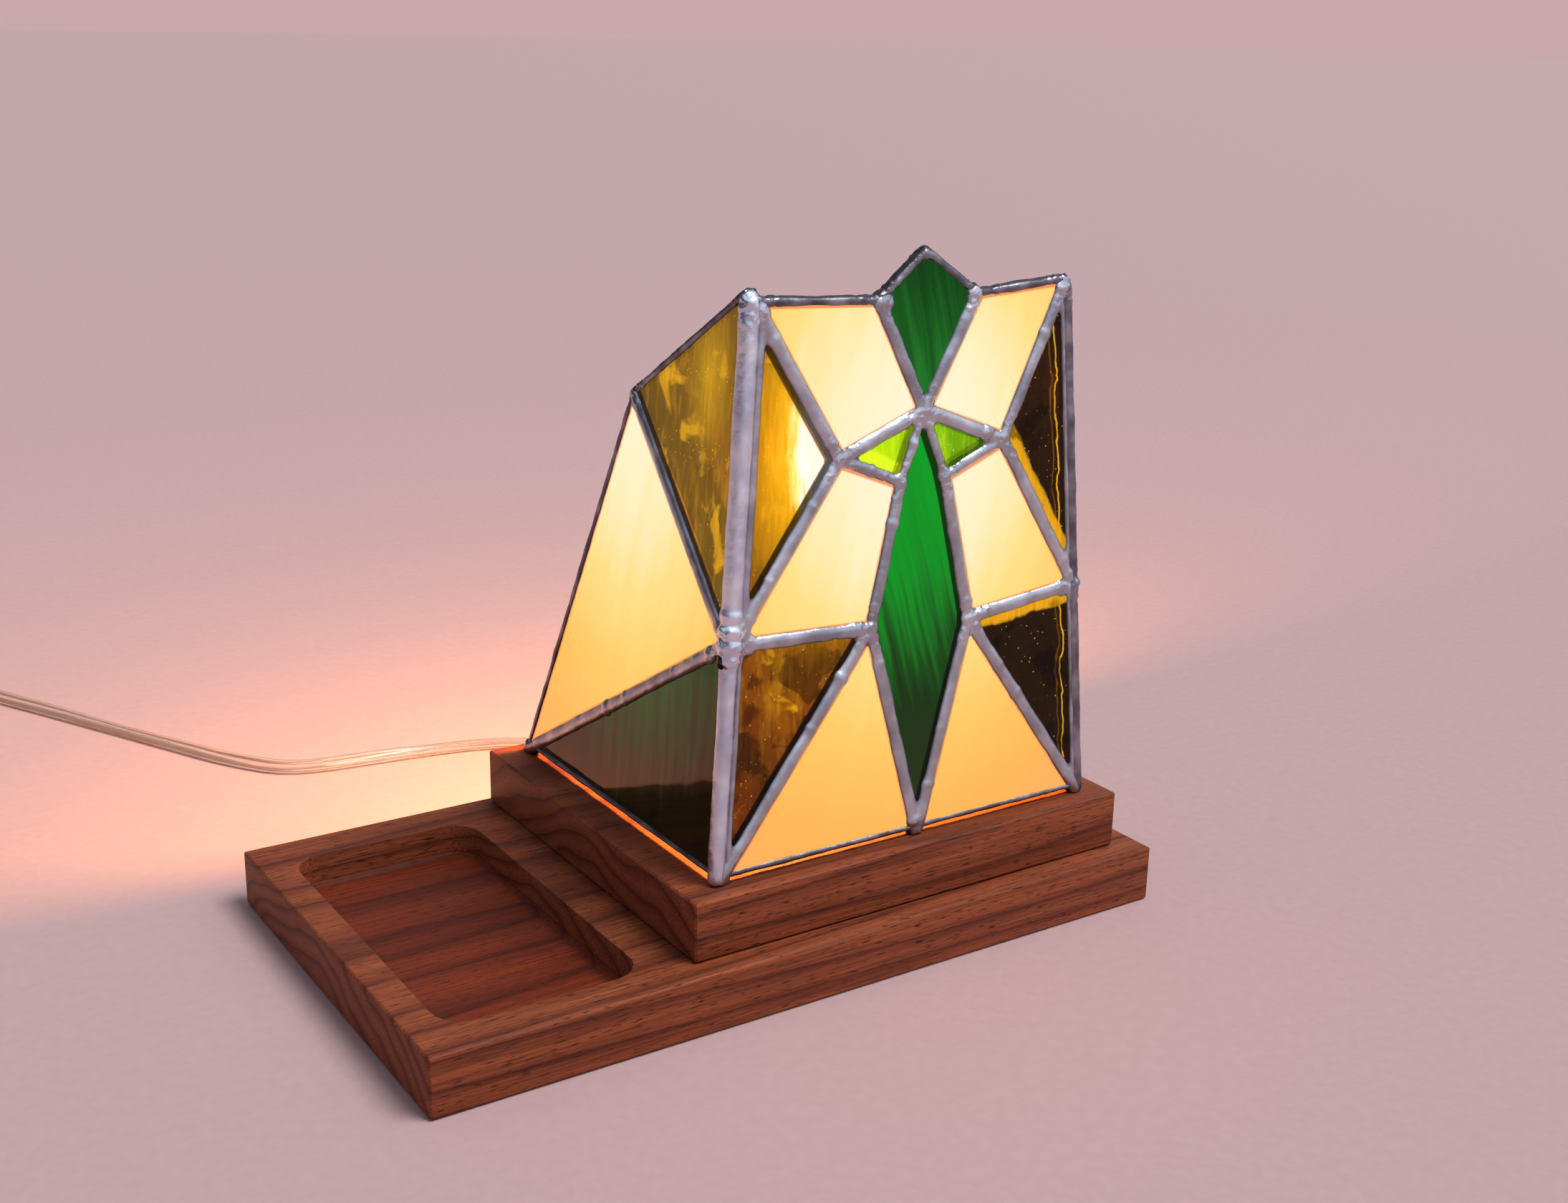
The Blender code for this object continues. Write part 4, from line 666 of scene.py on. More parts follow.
def frontSeams():
    shift = shade["leafShift"]
    spots = {"apex": frontSpot(shift, shade["apex"]), "cross": frontSpot(shift, shade["cross"]),
             "foot": frontSpot(shift, 0)}
    seams = []
    for end, side in (("L", -1), ("R", 1)):
        post, rail = shade["height"] - side * shade["topSkew"], shade["rail"]
        top = post - (shade["topDip"] if end == "L" else 0)
        post -= solderBeads["postDrop"]
        spots["post" + end] = frontSpot(side * halfWidth(post), post)
        spots["top" + end] = frontSpot(side * halfWidth(top), top)
        spots["rail" + end] = frontSpot(side * halfWidth(rail), rail)
        spots["foot" + end] = frontSpot(side * halfWidth(0), 0)
        for name, middle in (("shoulder", shift + shade["shoulderShift"]), ("wing", shift), ("neck", shift)):
            spots[name + end] = frontSpot(middle + side * shade[name][0], shade[name][1])
        spots["waist" + end] = frontSpot(shift + side * shade["waist"][0],
                                         shade["waist"][1] - side * shade["waistSkew"])
        seams += [(a + end, b + end, "seam") for a, b in (
            ("top", "wing"), ("wing", "rail"), ("neck", "waist"), ("waist", "rail"), ("waist", "foot"))]
        seams += [("shoulder" + end, "cross", "seam"), ("cross", "wing" + end, "seam"),
                  ("cross", "neck" + end, "fine"), ("wing" + end, "neck" + end, "fine"),
                  ("waist" + end, "foot", "seam"),
                  ("apex", "shoulder" + end, "free"), ("shoulder" + end, "top" + end, "free"),
                  ("foot" + end, "foot", "frontFoot"), ("top" + end, "rail" + end, "strip" + end),
                  ("rail" + end, "foot" + end, "lowStrip" + end), ("post" + end, "rail" + end, "corner" + end),
                  ("rail" + end, "foot" + end, "lowCorner" + end)]
    return spots, seams


def sideSeams(side):
    x, y, z = shade["foot"]
    top, rail = shade["height"] - side * shade["topSkew"], shade["rail"]
    rearDeep, rearHigh = shade["sideTop"]
    spots = {
        "top": frontSpot(side * halfWidth(top), top), "rail": frontSpot(side * halfWidth(rail), rail),
        "foot": frontSpot(side * halfWidth(0), 0),
        "rearFoot": Vector((x + side * halfWidth(0), y + shade["sideFoot"], z)),
        "rearTop": Vector((x + side * halfWidth(rearHigh), y + rearDeep, z + rearHigh)),
    }
    seams = [("rail", "rearTop", "seam"), ("rail", "rearFoot", "seam"), ("top", "rearTop", "free"),
             ("rearTop", "rearFoot", "rear"), ("foot", "rearFoot", "sideFoot")]
    return spots, seams


def addBead(start, end, normal, middle, kind):
    # a cylinder stretched along the seam and flattened on the panel
    wide, thick, inside = solderBeads[kind]
    along = end - start
    across = normal.cross(along).normalized()
    if across.dot(middle - start) < 0:
        across = -across
    bpy.ops.mesh.primitive_cylinder_add(vertices=24, radius=1, depth=1)
    bead = bpy.context.object
    if "orner" not in kind:
        for v in bead.data.vertices:
            v.co.y = math.copysign(abs(v.co.y) ** solderBeads["flatten"], v.co.y)
    axes = Matrix((across * wide, normal * thick, along)).transposed().to_4x4()
    bead.matrix_world = Matrix.Translation((start + end) / 2 + across * inside) @ axes
    return bead


def addKnot(spot, normal, radius, thick):
    bpy.ops.mesh.primitive_ico_sphere_add(subdivisions=3, radius=1)
    knot = bpy.context.object
    turn = normal.to_track_quat("Z", "Y").to_matrix()
    knot.matrix_world = Matrix.Translation(spot) @ (turn @ Matrix.Diagonal((radius, radius, thick))).to_4x4()
    return knot


def addDrops(start, end, normal, kind, chance):
    wide, thick, _ = solderBeads[kind]
    count = int((end - start).length / solderBeads["dropStep"])
    made = []
    for i in range(count):
        spot = start.lerp(end, (i + chance.uniform(0.2, 0.8)) / count)
        grow = chance.uniform(*solderBeads["dropGrow"])
        made.append(addKnot(spot, normal, wide + grow, thick + grow * 0.8))
    return made


def meltTogether(name, made, joints, face=None):
    bpy.ops.object.select_all(action="DESELECT")
    for piece in made:
        piece.select_set(True)
    bpy.context.view_layer.objects.active = made[0]
    bpy.ops.object.join()
    solder = bpy.context.object
    bpy.ops.object.transform_apply(location=True, rotation=True, scale=True)
    solder.name = solder.data.name = name
    b = solderBeads
    applyModifier(solder, "REMESH", mode="VOXEL", voxel_size=b["voxel"])
    applyModifier(solder, "SMOOTH", factor=0.5, iterations=b["smoothing"])
    near, far = b["wrinkled"]
    wrinkled = solder.vertex_groups.new(name="wrinkled")
    for v in solder.data.vertices:
        away = min((v.co - joint).length for joint in joints)
        if away < far:
            wrinkled.add([v.index], min((far - away) / (far - near), 1), "REPLACE")
    for label, size, height, group in (("lumps", b["lumpSize"], b["lumpHeight"], ""),
                                       ("wrinkles", b["wrinkleSize"], b["wrinkleHeight"], "wrinkled")):
        clouds = bpy.data.textures.new(label, "CLOUDS")
        clouds.noise_scale = size
        applyModifier(solder, "DISPLACE", texture=clouds, strength=height, mid_level=0.5,
                      texture_coords="LOCAL", vertex_group=group)
    pick(solder)
    bpy.ops.object.mode_set(mode="EDIT")
    bpy.ops.mesh.select_all(action="SELECT")
    bpy.ops.mesh.bisect(plane_co=(0, 0, shade["foot"][2]), plane_no=(0, 0, 1), use_fill=True, clear_inner=True)
    bpy.ops.object.mode_set(mode="OBJECT")
    bpy.ops.object.shade_smooth()
    knot = solder.data.attributes.new("knot", "FLOAT", "POINT")
    crest = solder.data.attributes.new("crest", "FLOAT", "POINT")
    for v in solder.data.vertices:
        away = min((v.co - joint).length for joint in joints)
        knot.data[v.index].value = min(max((far - away) / (far - near), 0), 1)
        rise = abs((v.co - face[0]).dot(face[1])) if face else 1
        crest.data[v.index].value = min(max((rise - b["glassSkin"]) / b["crestRise"], 0), 1)
    print(name, len(solder.data.polygons), "faces")
    return solder


def jointKnot(name, spots, normal):
    towards = spots.get("cross", spots[name])
    kinds = {"shoulder": "shoulderKnot", "rail": "railKnot" + name[-1], "post": "postKnot" + name[-1]}
    radius, thick, along = solderBeads[kinds.get(name[:-1], "knot")]
    return addKnot(spots[name] + (towards - spots[name]).normalized() * along, normal, radius, thick)


def makeShadeSolder():
    chance = random.Random(11)
    leanIn = (shade["footWidth"] - shade["topWidth"]) / 2
    panels = [("front", *frontSeams(), Vector((0, -shade["height"], shade["lean"])).normalized())]
    for label, side in (("left_side", -1), ("right_side", 1)):
        panels.append((label, *sideSeams(side), Vector((side * shade["height"], 0, leanIn)).normalized()))
    for label, spots, seams, normal in panels:
        middle = sum(spots.values(), Vector()) / len(spots)
        face = (spots["foot"], normal)
        heaps = {}
        for a, b, kind in seams:
            if "orner" in kind:
                heap = "left_corner" if kind[-1] == "L" else "right_corner"
            else:
                heap = "lattice" if kind in ("seam", "fine") or "trip" in kind else "edging"
            heaps.setdefault(heap, []).append(addBead(spots[a], spots[b], normal, middle, kind))
            if kind in ("seam", "fine"):
                heaps[heap] += addDrops(spots[a], spots[b], normal, kind, chance)
        for name, spot in spots.items():
            if name[:3] in ("sho", "cro", "win", "wai", "nec"):
                heaps["lattice"].append(jointKnot(name, spots, normal))
            elif name[:-1] in ("rail", "post"):
                heap = "left_corner" if name[-1] == "L" else "right_corner"
                heaps[heap].append(jointKnot(name, spots, normal))
            elif name in ("rearTop", "apex", "rearFoot"):
                radius, thick, along = solderBeads["endKnot"]
                inward = (middle - spot).normalized() * along
                heaps["edging"].append(addKnot(spot + inward, normal, radius, thick))
        if label == "front":
            aims = {**spots, "crown": (spots["apex"] + spots["cross"]) / 2}
            for start, end, far, radius in solderBeads["webs"]:
                spot = spots[start] + (aims[end] - spots[start]).normalized() * far
                heaps["lattice"].append(addKnot(spot, normal, radius, solderBeads["web"]))
            for far, radius in solderBeads["cornerRuns"]:
                spot = spots["railL"] + (spots["postL"] - spots["railL"]).normalized() * far
                heaps["left_corner"].append(addKnot(spot, normal, radius, radius))
        joints = [spot for name, spot in spots.items() if not name.startswith("foot")]
        for heap, made in heaps.items():
            if heap == "lattice":
                piece = meltTogether(label + "_lattice", made, joints, face)
                dress(piece, runSolder, "shade", "solder", label + "_solder")
            elif heap == "edging":
                dress(meltTogether(label + "_edging", made, joints, face), tinnedFoilAndShade, "shade", "solder")
            else:
                # painted light and shade: the left corner bead takes a lighter solder, the right one the dark foil
                # finish
                material = cornerSolder if heap == "left_corner" else tinnedFoilAndShade
                dress(meltTogether(heap + "_bead", made, joints), material, "shade", "solder", heap + "_seam")


makeShadeSolder()
print("solder run")


# Glass lit from behind: the light falls away from a spot a little above the bulb's middle
bulbGlow = {"middle": (0.03845, 0.00245, 0.158), "stretch": (1, 1, 0.85)}


def glowDistance(addTo, place, waver):
    offset = addTo("VectorMath", {0: place, 1: bulbGlow["middle"]}, operation="SUBTRACT")
    squeezed = addTo("VectorMath", {0: offset, 1: bulbGlow["stretch"]}, operation="MULTIPLY")
    away = addTo("VectorMath", {0: squeezed}, operation="LENGTH")
    return addTo("Math", {0: waver, 1: 0.010, 2: away}, operation="MULTIPLY_ADD")


# Cream opal glass, rolled: its glow is painted on, even, white-hot by the bulb and peach at the foot, with faint
# wisps
def makeCreamGlass(name, tilt, start):
    material, addTo, shader, place = startMaterial(name, {
        "Base Color": hexColor("#4A3C28"), "Roughness": 0.16, "Emission Strength": 0.95,
    })
    wispMap = addTo("Mapping", {
        "Vector": place, "Rotation": tilt, "Scale": (0.0067, 0.0067, 0.045),
    }, vector_type="TEXTURE")  # about 7 by 45 mm, tilted
    wisp = addTo("TexNoise", {"Vector": wispMap, "Scale": 1, "Detail": 3})
    away = glowDistance(addTo, place, wisp)
    span = addTo("MapRange", {"Value": away, "From Min": start, "From Max": start + 0.11})
    glow = addTo("ValToRGB", {"Fac": span}, [
        (0.02, "#FFF8DC"), (0.11, "#FFF2C0"), (0.22, "#FFE084"), (0.38, "#FFC95E"), (0.56, "#FEB64E"),
        (0.80, "#FCA858"), (1.0, "#F49C4C"),
    ])
    # painted light: a thin orange glow along the pane's edges, beside the solder
    rim = addTo("Attribute", attribute_name="rim")
    rimSpan = addTo("MapRange", {
        "Value": rim.outputs["Fac"], "From Min": 0.2, "From Max": 0.36, "To Min": 0.85, "To Max": 0.0,
    })
    edged = addTo("Mix", {"Factor": rimSpan, 6: glow, 7: hexColor("#F07C3C")}, data_type="RGBA")
    waves = addTo("TexNoise", {"Vector": place, "Scale": 70, "Detail": 1})
    bump = addTo("Bump", {"Height": waves, "Strength": 0.1, "Distance": 0.001})
    setInputs(shader, {"Emission Color": edged, "Normal": bump})
    return material


# Cathedral glass, drawn clear: see-through and rippled, with seeds, fine draw lines and golden streaks, dark at
# its foiled edge, and burnt out where the bulb stands behind it. Painted light: the white-hot spot, the golden
# glare and streaks, the glints along some edges and the bright seeds; painted shade: darker patches far off
def makeCathedralGlass(name, tint, hot, stops, spark, streakShare, seedColor, edgeLevel, patchLevel):
    material, addTo, shader, place = startMaterial(name, {
        "Base Color": hexColor(tint), "Roughness": 0.08, "IOR": 1.2, "Transmission Weight": 1.0,
        "Specular IOR Level": 0.03, "Emission Strength": 1.0,
    })
    ripples = addTo("TexNoise", {"Vector": place, "Scale": 85, "Detail": 2})  # about 12 mm
    streakMap = addTo("Mapping", {"Vector": place, "Scale": (260, 260, 55)})  # about 4 by 18 mm
    streak = addTo("TexNoise", {"Vector": streakMap, "Scale": 1, "Detail": 4, "Roughness": 0.65})
    lineMap = addTo("Mapping", {"Vector": place, "Scale": (900, 900, 90)})  # about 1 by 11 mm
    drawLine = addTo("TexNoise", {"Vector": lineMap, "Scale": 1, "Detail": 2})
    # painted highlight: the white-hot spot where the bulb stands behind the glass, fading to gold
    offset = addTo("VectorMath", {0: place, 1: hot}, operation="SUBTRACT")
    squeezed = addTo("VectorMath", {0: offset, 1: (1, 1, 0.5)}, operation="MULTIPLY")
    away = addTo("VectorMath", {0: squeezed}, operation="LENGTH")
    frayed = addTo("Math", {0: streak, 1: 0.016, 2: away}, operation="MULTIPLY_ADD")
    span = addTo("MapRange", {"Value": frayed, "From Min": 0.008, "From Max": 0.078})
    glow = addTo("ValToRGB", {"Fac": span}, stops)
    # painted glare: golden streaks and patches near the hot spot
    streakSpan = addTo("MapRange", {"Value": streak, "From Min": 0.5, "From Max": 0.72, "To Max": streakShare})
    streakFade = addTo("MapRange", {"Value": span, "From Min": 0.55, "To Min": 1.0, "To Max": 0.0})
    streakLit = addTo("Math", {0: streakSpan, 1: streakFade}, operation="MULTIPLY")
    glare = addTo("TexNoise", {"Vector": place, "Scale": 75, "Detail": 4, "Distortion": 0.5})  # about 13 mm
    glareSpan = addTo("MapRange", {"Value": glare, "From Min": 0.57, "From Max": 0.64, "To Max": 0.95})
    glareLit = addTo("Math", {0: glareSpan, 1: streakFade}, operation="MULTIPLY")
    bright = addTo("Math", {0: glareLit, 1: streakLit}, operation="MAXIMUM")
    # painted glints: golden lines along the edges listed in paneGlints, and a thin one along the right-hand edges
    glint = addTo("Attribute", attribute_name="glint")
    glintFray = addTo("Math", {0: glare, 1: 0.9, 2: glint.outputs["Fac"]}, operation="MULTIPLY_ADD")
    glintSpan = addTo("MapRange", {
        "Value": glintFray, "From Min": 0.92, "From Max": 1.05, "To Min": 0.95, "To Max": 0.0,
    })
    corner = addTo("Attribute", attribute_name="corner")
    cornerSway = addTo("Math", {0: glare, 1: 0.9, 2: corner.outputs["Fac"]}, operation="MULTIPLY_ADD")
    cornerGlint = addTo("Math", {0: cornerSway, 1: 0.78, 2: 0.045}, operation="COMPARE")
    caught = addTo("Math", {0: glintSpan, 1: cornerGlint}, operation="MAXIMUM")
    share = addTo("Math", {0: caught, 1: bright}, operation="MAXIMUM")
    lit = addTo("Mix", {"Factor": share, 6: glow, 7: hexColor(spark)}, data_type="RGBA", blend_type="LIGHTEN")
    # seeds in the glass, painted bright as if catching the light
    seeds = addTo("TexVoronoi", {"Vector": place, "Scale": 600})  # one place for a seed in 1.7 mm
    seedDot = addTo("MapRange", {"Value": seeds, "From Min": 0.08, "From Max": 0.17, "To Min": 1.0, "To Max": 0.0})
    seedParts = addTo("SeparateColor", {"Color": seeds.outputs["Color"]})
    seedPick = addTo("MapRange", {
        "Value": seedParts.outputs["Red"], "From Min": 0.4, "From Max": 0.95, "To Max": 0.75,
    })
    seedShare = addTo("Math", {0: seedDot, 1: seedPick}, operation="MULTIPLY")
    seeded = addTo("Mix", {
        "Factor": seedShare, 6: lit, 7: hexColor(seedColor),
    }, data_type="RGBA", blend_type="LIGHTEN")
    lineShade = addTo("MapRange", {
        "Value": drawLine, "From Min": 0.3, "From Max": 0.7, "To Min": 0.86, "To Max": 1.14,
    })
    foil = addTo("Attribute", attribute_name="foil")
    foilShade = addTo("MapRange", {
        "Value": foil.outputs["Fac"], "From Min": 0.74, "From Max": 0.86, "To Min": edgeLevel,
    })
    shaded = addTo("Math", {0: lineShade, 1: foilShade}, operation="MULTIPLY")
    patch = addTo("MapRange", {
        "Value": glare, "From Min": 0.41, "From Max": 0.46, "To Min": patchLevel,
    })  # painted shade: darker patches, away from the bulb
    patchFar = addTo("MapRange", {"Value": span, "From Min": 0.38, "From Max": 0.48})
    patched = addTo("Mix", {"Factor": patchFar, 2: 1.0, 3: patch}, data_type="FLOAT")
    dimmed = addTo("Math", {0: shaded, 1: patched}, operation="MULTIPLY")
    drawn = addTo("VectorMath", {0: seeded, "Scale": dimmed}, operation="SCALE")
    bump = addTo("Bump", {"Height": ripples, "Strength": 0.4, "Distance": 0.001})
    setInputs(shader, {"Emission Color": drawn, "Normal": bump})
    return material


# Streaky green glass: swirled while molten, so darker and lighter threads run along the pane; its glow is painted on
def makeStreakyGlass(name, turn, stops, strength, base, edgeLevel=1.0, gloss=(0.1, "#FFFFFF")):
    material, addTo, shader, place = startMaterial(name, {
        "Base Color": hexColor(base), "Roughness": 0.06, "Specular IOR Level": gloss[0],
        "Specular Tint": hexColor(gloss[1]), "Emission Strength": strength,
    })
    streakMap = addTo("Mapping", {
        "Vector": place, "Rotation": turn, "Scale": (0.0030, 0.0038, 0.066),
    }, vector_type="TEXTURE")  # about 3 by 66 mm, turned
    sway = addTo("TexNoise", {"Vector": place, "Scale": 30, "Detail": 1})
    swayed = addTo("VectorMath", {
        0: sway.outputs["Color"], 1: (0.9, 0.9, 0.3), 2: streakMap,
    }, operation="MULTIPLY_ADD")
    streak = addTo("TexNoise", {"Vector": swayed, "Scale": 1, "Detail": 4})
    calm = addTo("MapRange", {"Value": streak, "From Min": 0.2, "From Max": 0.8, "To Min": 0.36, "To Max": 0.64})
    # painted glow, brighter near the bulb
    away = glowDistance(addTo, place, streak)
    near = addTo("MapRange", {"Value": away, "From Min": 0.060, "From Max": 0.140, "To Min": 0.30, "To Max": -0.50})
    mixed = addTo("Math", {0: calm, 1: near}, operation="ADD")
    color = addTo("ValToRGB", {"Fac": mixed}, stops)
    foil = addTo("Attribute", attribute_name="foil")
    foilShade = addTo("MapRange", {
        "Value": foil.outputs["Fac"], "From Min": 0.62, "From Max": 0.74, "To Min": edgeLevel,
    })
    drawn = addTo("VectorMath", {0: color, "Scale": foilShade}, operation="SCALE")
    waves = addTo("TexNoise", {"Vector": place, "Scale": 60, "Detail": 1})
    bump = addTo("Bump", {"Height": waves, "Strength": 0.12, "Distance": 0.001})
    setInputs(shader, {"Emission Color": drawn, "Normal": bump})
    return material


glassSheets = {
    "cream": (makeCreamGlass("creamOpalGlass", (0, 0.25, 0), 0.060), "cream_glass"),
    "sideCream": (makeCreamGlass("creamOpalSideGlass", (0.2, 0, 0), 0.057), "cream_glass"),
    "amber": (makeCathedralGlass("amberCathedralGlass", "#2A1C06", (0.0045, -0.0549, 0.1665), [
        (0.115, "#FFFBEA"), (0.145, "#FFE880"), (0.19, "#ECAC10"), (0.27, "#C88E06"), (0.385, "#8E6008"),
        (0.46, "#7E4E08"), (0.56, "#763E06"), (0.80, "#582A08"), (0.98, "#1C1004")],
        "#E0A012", 0.4, "#FFD050", 0.08, 0.35), "amber_glass"),
    "lime": (makeCathedralGlass("limeCathedralGlass", "#2A4A06", (0.0270, -0.0549, 0.1637), [
        (0.0, "#AACA03"), (0.14, "#9CC203"), (0.32, "#4C8801"), (0.7, "#3E7601")],
        "#D0EC20", 0.5, "#E8FF80", 0.4, 1.0), "lime_glass"),
    "crown": (makeStreakyGlass("greenStreakyGlass", (0, -0.2, 0), [
        (0.4, "#05240A"), (0.6, "#0A4412"), (0.68, "#105818"), (0.76, "#1C7024"), (0.95, "#1E7C28")],
        1.0, "#030C06"), "green_glass"),
    "leaf": (makeStreakyGlass("greenWispyGlass", (0, -0.28, 0), [
        (0.22, "#2A2E16"), (0.46, "#183210"), (0.55, "#164A14"), (0.61, "#166C1E"), (0.68, "#0E8C22"),
        (0.80, "#049E22")], 1.0, "#030C06", 0.1), "green_glass"),
    "darkGreen": (makeStreakyGlass("darkGreenStreakyGlass", (0, 0.05, 0), [
        (0.0, "#040703"), (0.2, "#071006"), (0.34, "#123A14"), (0.5, "#1C5420")],
        0.75, "#0C100A", gloss=(0.38, "#FFB468")), "dark_green_glass"),
}
for end, x in (("left", -0.0205), ("right", 0.0982)):
    glassSheets[end + "Amber"] = (makeCathedralGlass(end + "AmberCathedralGlass", "#332506", (x, -0.0375, 0.186), [
        (0.0, "#C09010"), (0.085, "#94700E"), (0.185, "#664A08"), (0.5, "#62480A"), (0.72, "#463206")],
        "#C8920E", 0.4, "#FFD050", 0.08, 0.85), "amber_glass")
paneSheets = {"green_crown_glass": "crown", "green_leaf_glass": "leaf"}
for end in ("left", "right"):
    for part in ("top", "middle", "lower"):
        paneSheets[f"cream_{part}_{end}_glass"] = "cream"
    for part in ("upper", "lower"):
        paneSheets[f"amber_{part}_{end}_glass"] = "amber"
    paneSheets[f"lime_{end}_glass"] = "lime"
    paneSheets[f"{end}_side_amber_glass"] = end + "Amber"
    paneSheets[f"{end}_side_cream_glass"] = "sideCream"
    paneSheets[f"{end}_side_green_glass"] = "darkGreen"
# depths under the bead, beside it and well in, and above the foot; the foil shows dark through the edges that
# face "away", and light gathers at the ones in "glints"
paneRim = {
    "hidden": 0.0008, "line": 0.0020, "shown": 0.0040, "deep": 0.0075, "foot": 0.0029, "away": (0.75, 0.6, -0.3),
}
paneGlints = {"amber_upper_right_glass": (0.85, 0, 0.52), "amber_lower_right_glass": (0, 0, -1),
              "lime_left_glass": (0.25, 0, 0.97)}


def makePane(nodeName):
    pane = copyNode(nodeName, nodeName.replace("_glass", "_pane"))
    broad = max(pane.data.polygons, key=lambda face: face.area)
    corners = [pane.data.vertices[v].co.copy() for v in broad.vertices]
    sides = []  # a place on each side of the outline, and the way in from it
    for start, end in zip(corners, corners[1:] + corners[:1]):
        sides.append((start, broad.normal.cross(end - start).normalized()))
    bpy.ops.object.mode_set(mode="EDIT")
    for start, inward in sides:
        for depth in (paneRim["hidden"], paneRim["line"], paneRim["shown"], paneRim["deep"]):
            bpy.ops.mesh.select_all(action="SELECT")
            bpy.ops.mesh.bisect(plane_co=start + inward * depth, plane_no=inward)
    bpy.ops.mesh.select_all(action="SELECT")
    bpy.ops.mesh.bisect(plane_co=(0, 0, shade["foot"][2] + paneRim["foot"]), plane_no=(0, 0, 1), use_fill=True,
                        clear_inner=True)
    bpy.ops.object.mode_set(mode="OBJECT")
    away, lit = Vector(paneRim["away"]), Vector(paneGlints.get(nodeName, (0, 0, 0)))
    edges = {  # the sides each mark is measured from, and how deep it goes
        "rim": (sides, "shown"), "glint": ([s for s in sides if s[1].dot(lit) > 0.9], "deep"),
        "foil": ([s for s in sides if s[1].dot(away) < -0.35 and abs(s[1].z) > 0.15], "shown"),
        # the right-hand edges, where a thin painted glint line runs
        "corner": ([s for s in sides if s[1].x < -0.95], "deep"),
    }
    for label, (rows, deep) in edges.items():
        layer = pane.data.attributes.new(label, "FLOAT", "POINT")
        for v in pane.data.vertices:
            depth = min([(v.co - start).dot(inward) for start, inward in rows], default=1) - paneRim["hidden"]
            layer.data[v.index].value = min(max(depth / (paneRim[deep] - paneRim["hidden"]), 0), 1)
    return pane


for nodeName, sheet in paneSheets.items():
    material, slot = glassSheets[sheet]
    dress(makePane(nodeName), material, "shade", slot, nodeName)
print("glass cut,", len(paneSheets), "panes")


# Spun brass, lacquered: warm yellow, soft shine, faint turning lines
brass, addTo, shader, place = startMaterial("spunBrass", {"Metallic": 1.0})
tone = addTo("TexNoise", {"Vector": place, "Scale": 120, "Detail": 3})
brassColor = addTo("ValToRGB", {"Fac": tone}, [(0.3, "#A9823F"), (0.7, "#CFA75C")])
latheMap = addTo("Mapping", {"Vector": place, "Scale": (60, 60, 2600)})
lathe = addTo("TexNoise", {"Vector": latheMap, "Scale": 1, "Detail": 2})
brassRough = addTo("MapRange", {"Value": lathe, "To Min": 0.2, "To Max": 0.42})
setInputs(shader, {"Base Color": brassColor, "Roughness": brassRough})

# Zinc-plated steel: cool grey with a spangle
platedSteel, addTo, shader, place = startMaterial("zincPlatedSteel", {"Metallic": 1.0, "Roughness": 0.34})
spangle = addTo("TexVoronoi", {"Vector": place, "Scale": 900})
steelColor = addTo("ValToRGB", {"Fac": spangle}, [(0.1, "#9A9C9E"), (0.8, "#BEBFBF")])
setInputs(shader, {"Base Color": steelColor})

# Rolled aluminium: pale grey, drawn lines round the cap
aluminium, addTo, shader, place = startMaterial("rolledAluminium", {"Metallic": 1.0})
drawMap = addTo("Mapping", {"Vector": place, "Scale": (80, 80, 1800)})
drawLines = addTo("TexNoise", {"Vector": drawMap, "Scale": 1, "Detail": 2})
capColor = addTo("ValToRGB", {"Fac": drawLines}, [(0.3, "#B4B2AE"), (0.7, "#D2D0CC")])
capRough = addTo("MapRange", {"Value": drawLines, "To Min": 0.22, "To Max": 0.4})
setInputs(shader, {"Base Color": capColor, "Roughness": capRough})

# Phenolic moulding: black-brown, half gloss, faint flow marks
phenolic = makeGrained("phenolicMoulding", {"Roughness": 0.35}, (260, 4), [(0.3, "#120F0D"), (0.7, "#231C18")])

# Fibre board liner: tan pressed paper, dull, with short fibres
fibreBoard = makeGrained("pressedFibre", {"Roughness": 0.85}, (900, 4), [(0.35, "#7C5E3E"), (0.65, "#A88760")])

# Clear lead glass of the stem: bright edges and little colour
stemGlass, addTo, shader, place = startMaterial("clearStemGlass", {
    "Base Color": hexColor("#EEF2EE"), "IOR": 1.55, "Transmission Weight": 1.0,
})
stemSwirl = addTo("TexNoise", {"Vector": place, "Scale": 300})
stemRough = addTo("MapRange", {"Value": stemSwirl, "To Min": 0.0, "To Max": 0.06})
setInputs(shader, {"Roughness": stemRough})

# Tungsten wire, glowing
tungsten = makeGrained("glowingTungsten", {
    "Base Color": hexColor("#4A4743"), "Metallic": 1.0, "Roughness": 0.5, "Emission Strength": 20,
}, (200, 2), [(0.3, "#FFC070"), (0.7, "#FFD89A")], socket="Emission Color")

# Frosted bulb glass: etched inside, so the whole globe glows warm white, less at the neck
bulb = {"foot": (0.03845, 0.00245, 0.0699), "globe": 0.030, "length": 0.110, "neck": 0.0124, "neckFoot": 0.009,
        "neckTop": 0.034, "slope": math.radians(38),
        "wall": 0.0009, "tip": (0.0002, 0.0001), "tipReach": 0.02, "neckSteps": 9, "globeSteps": 20,
        "glow": 1.0, "watts": 6.0, "lightColor": "#FFAA50", "lightSize": 0.012}
frostedGlass, addTo, shader, place = startMaterial("frostedBulbGlass", {
    "Base Color": hexColor("#F2E6D2"), "Roughness": 0.35, "Emission Strength": bulb["glow"],
})
heightSplit = addTo("SeparateXYZ", {"Vector": place})
heightSpan = addTo("MapRange", {"Value": heightSplit.outputs["Z"], "From Min": 0.095, "From Max": 0.135})
globeColor = addTo("ValToRGB", {"Fac": heightSpan}, [(0.0, "#6E4416"), (0.5, "#E8A654"), (1.0, "#FFCB85")])
setInputs(shader, {"Emission Color": globeColor})


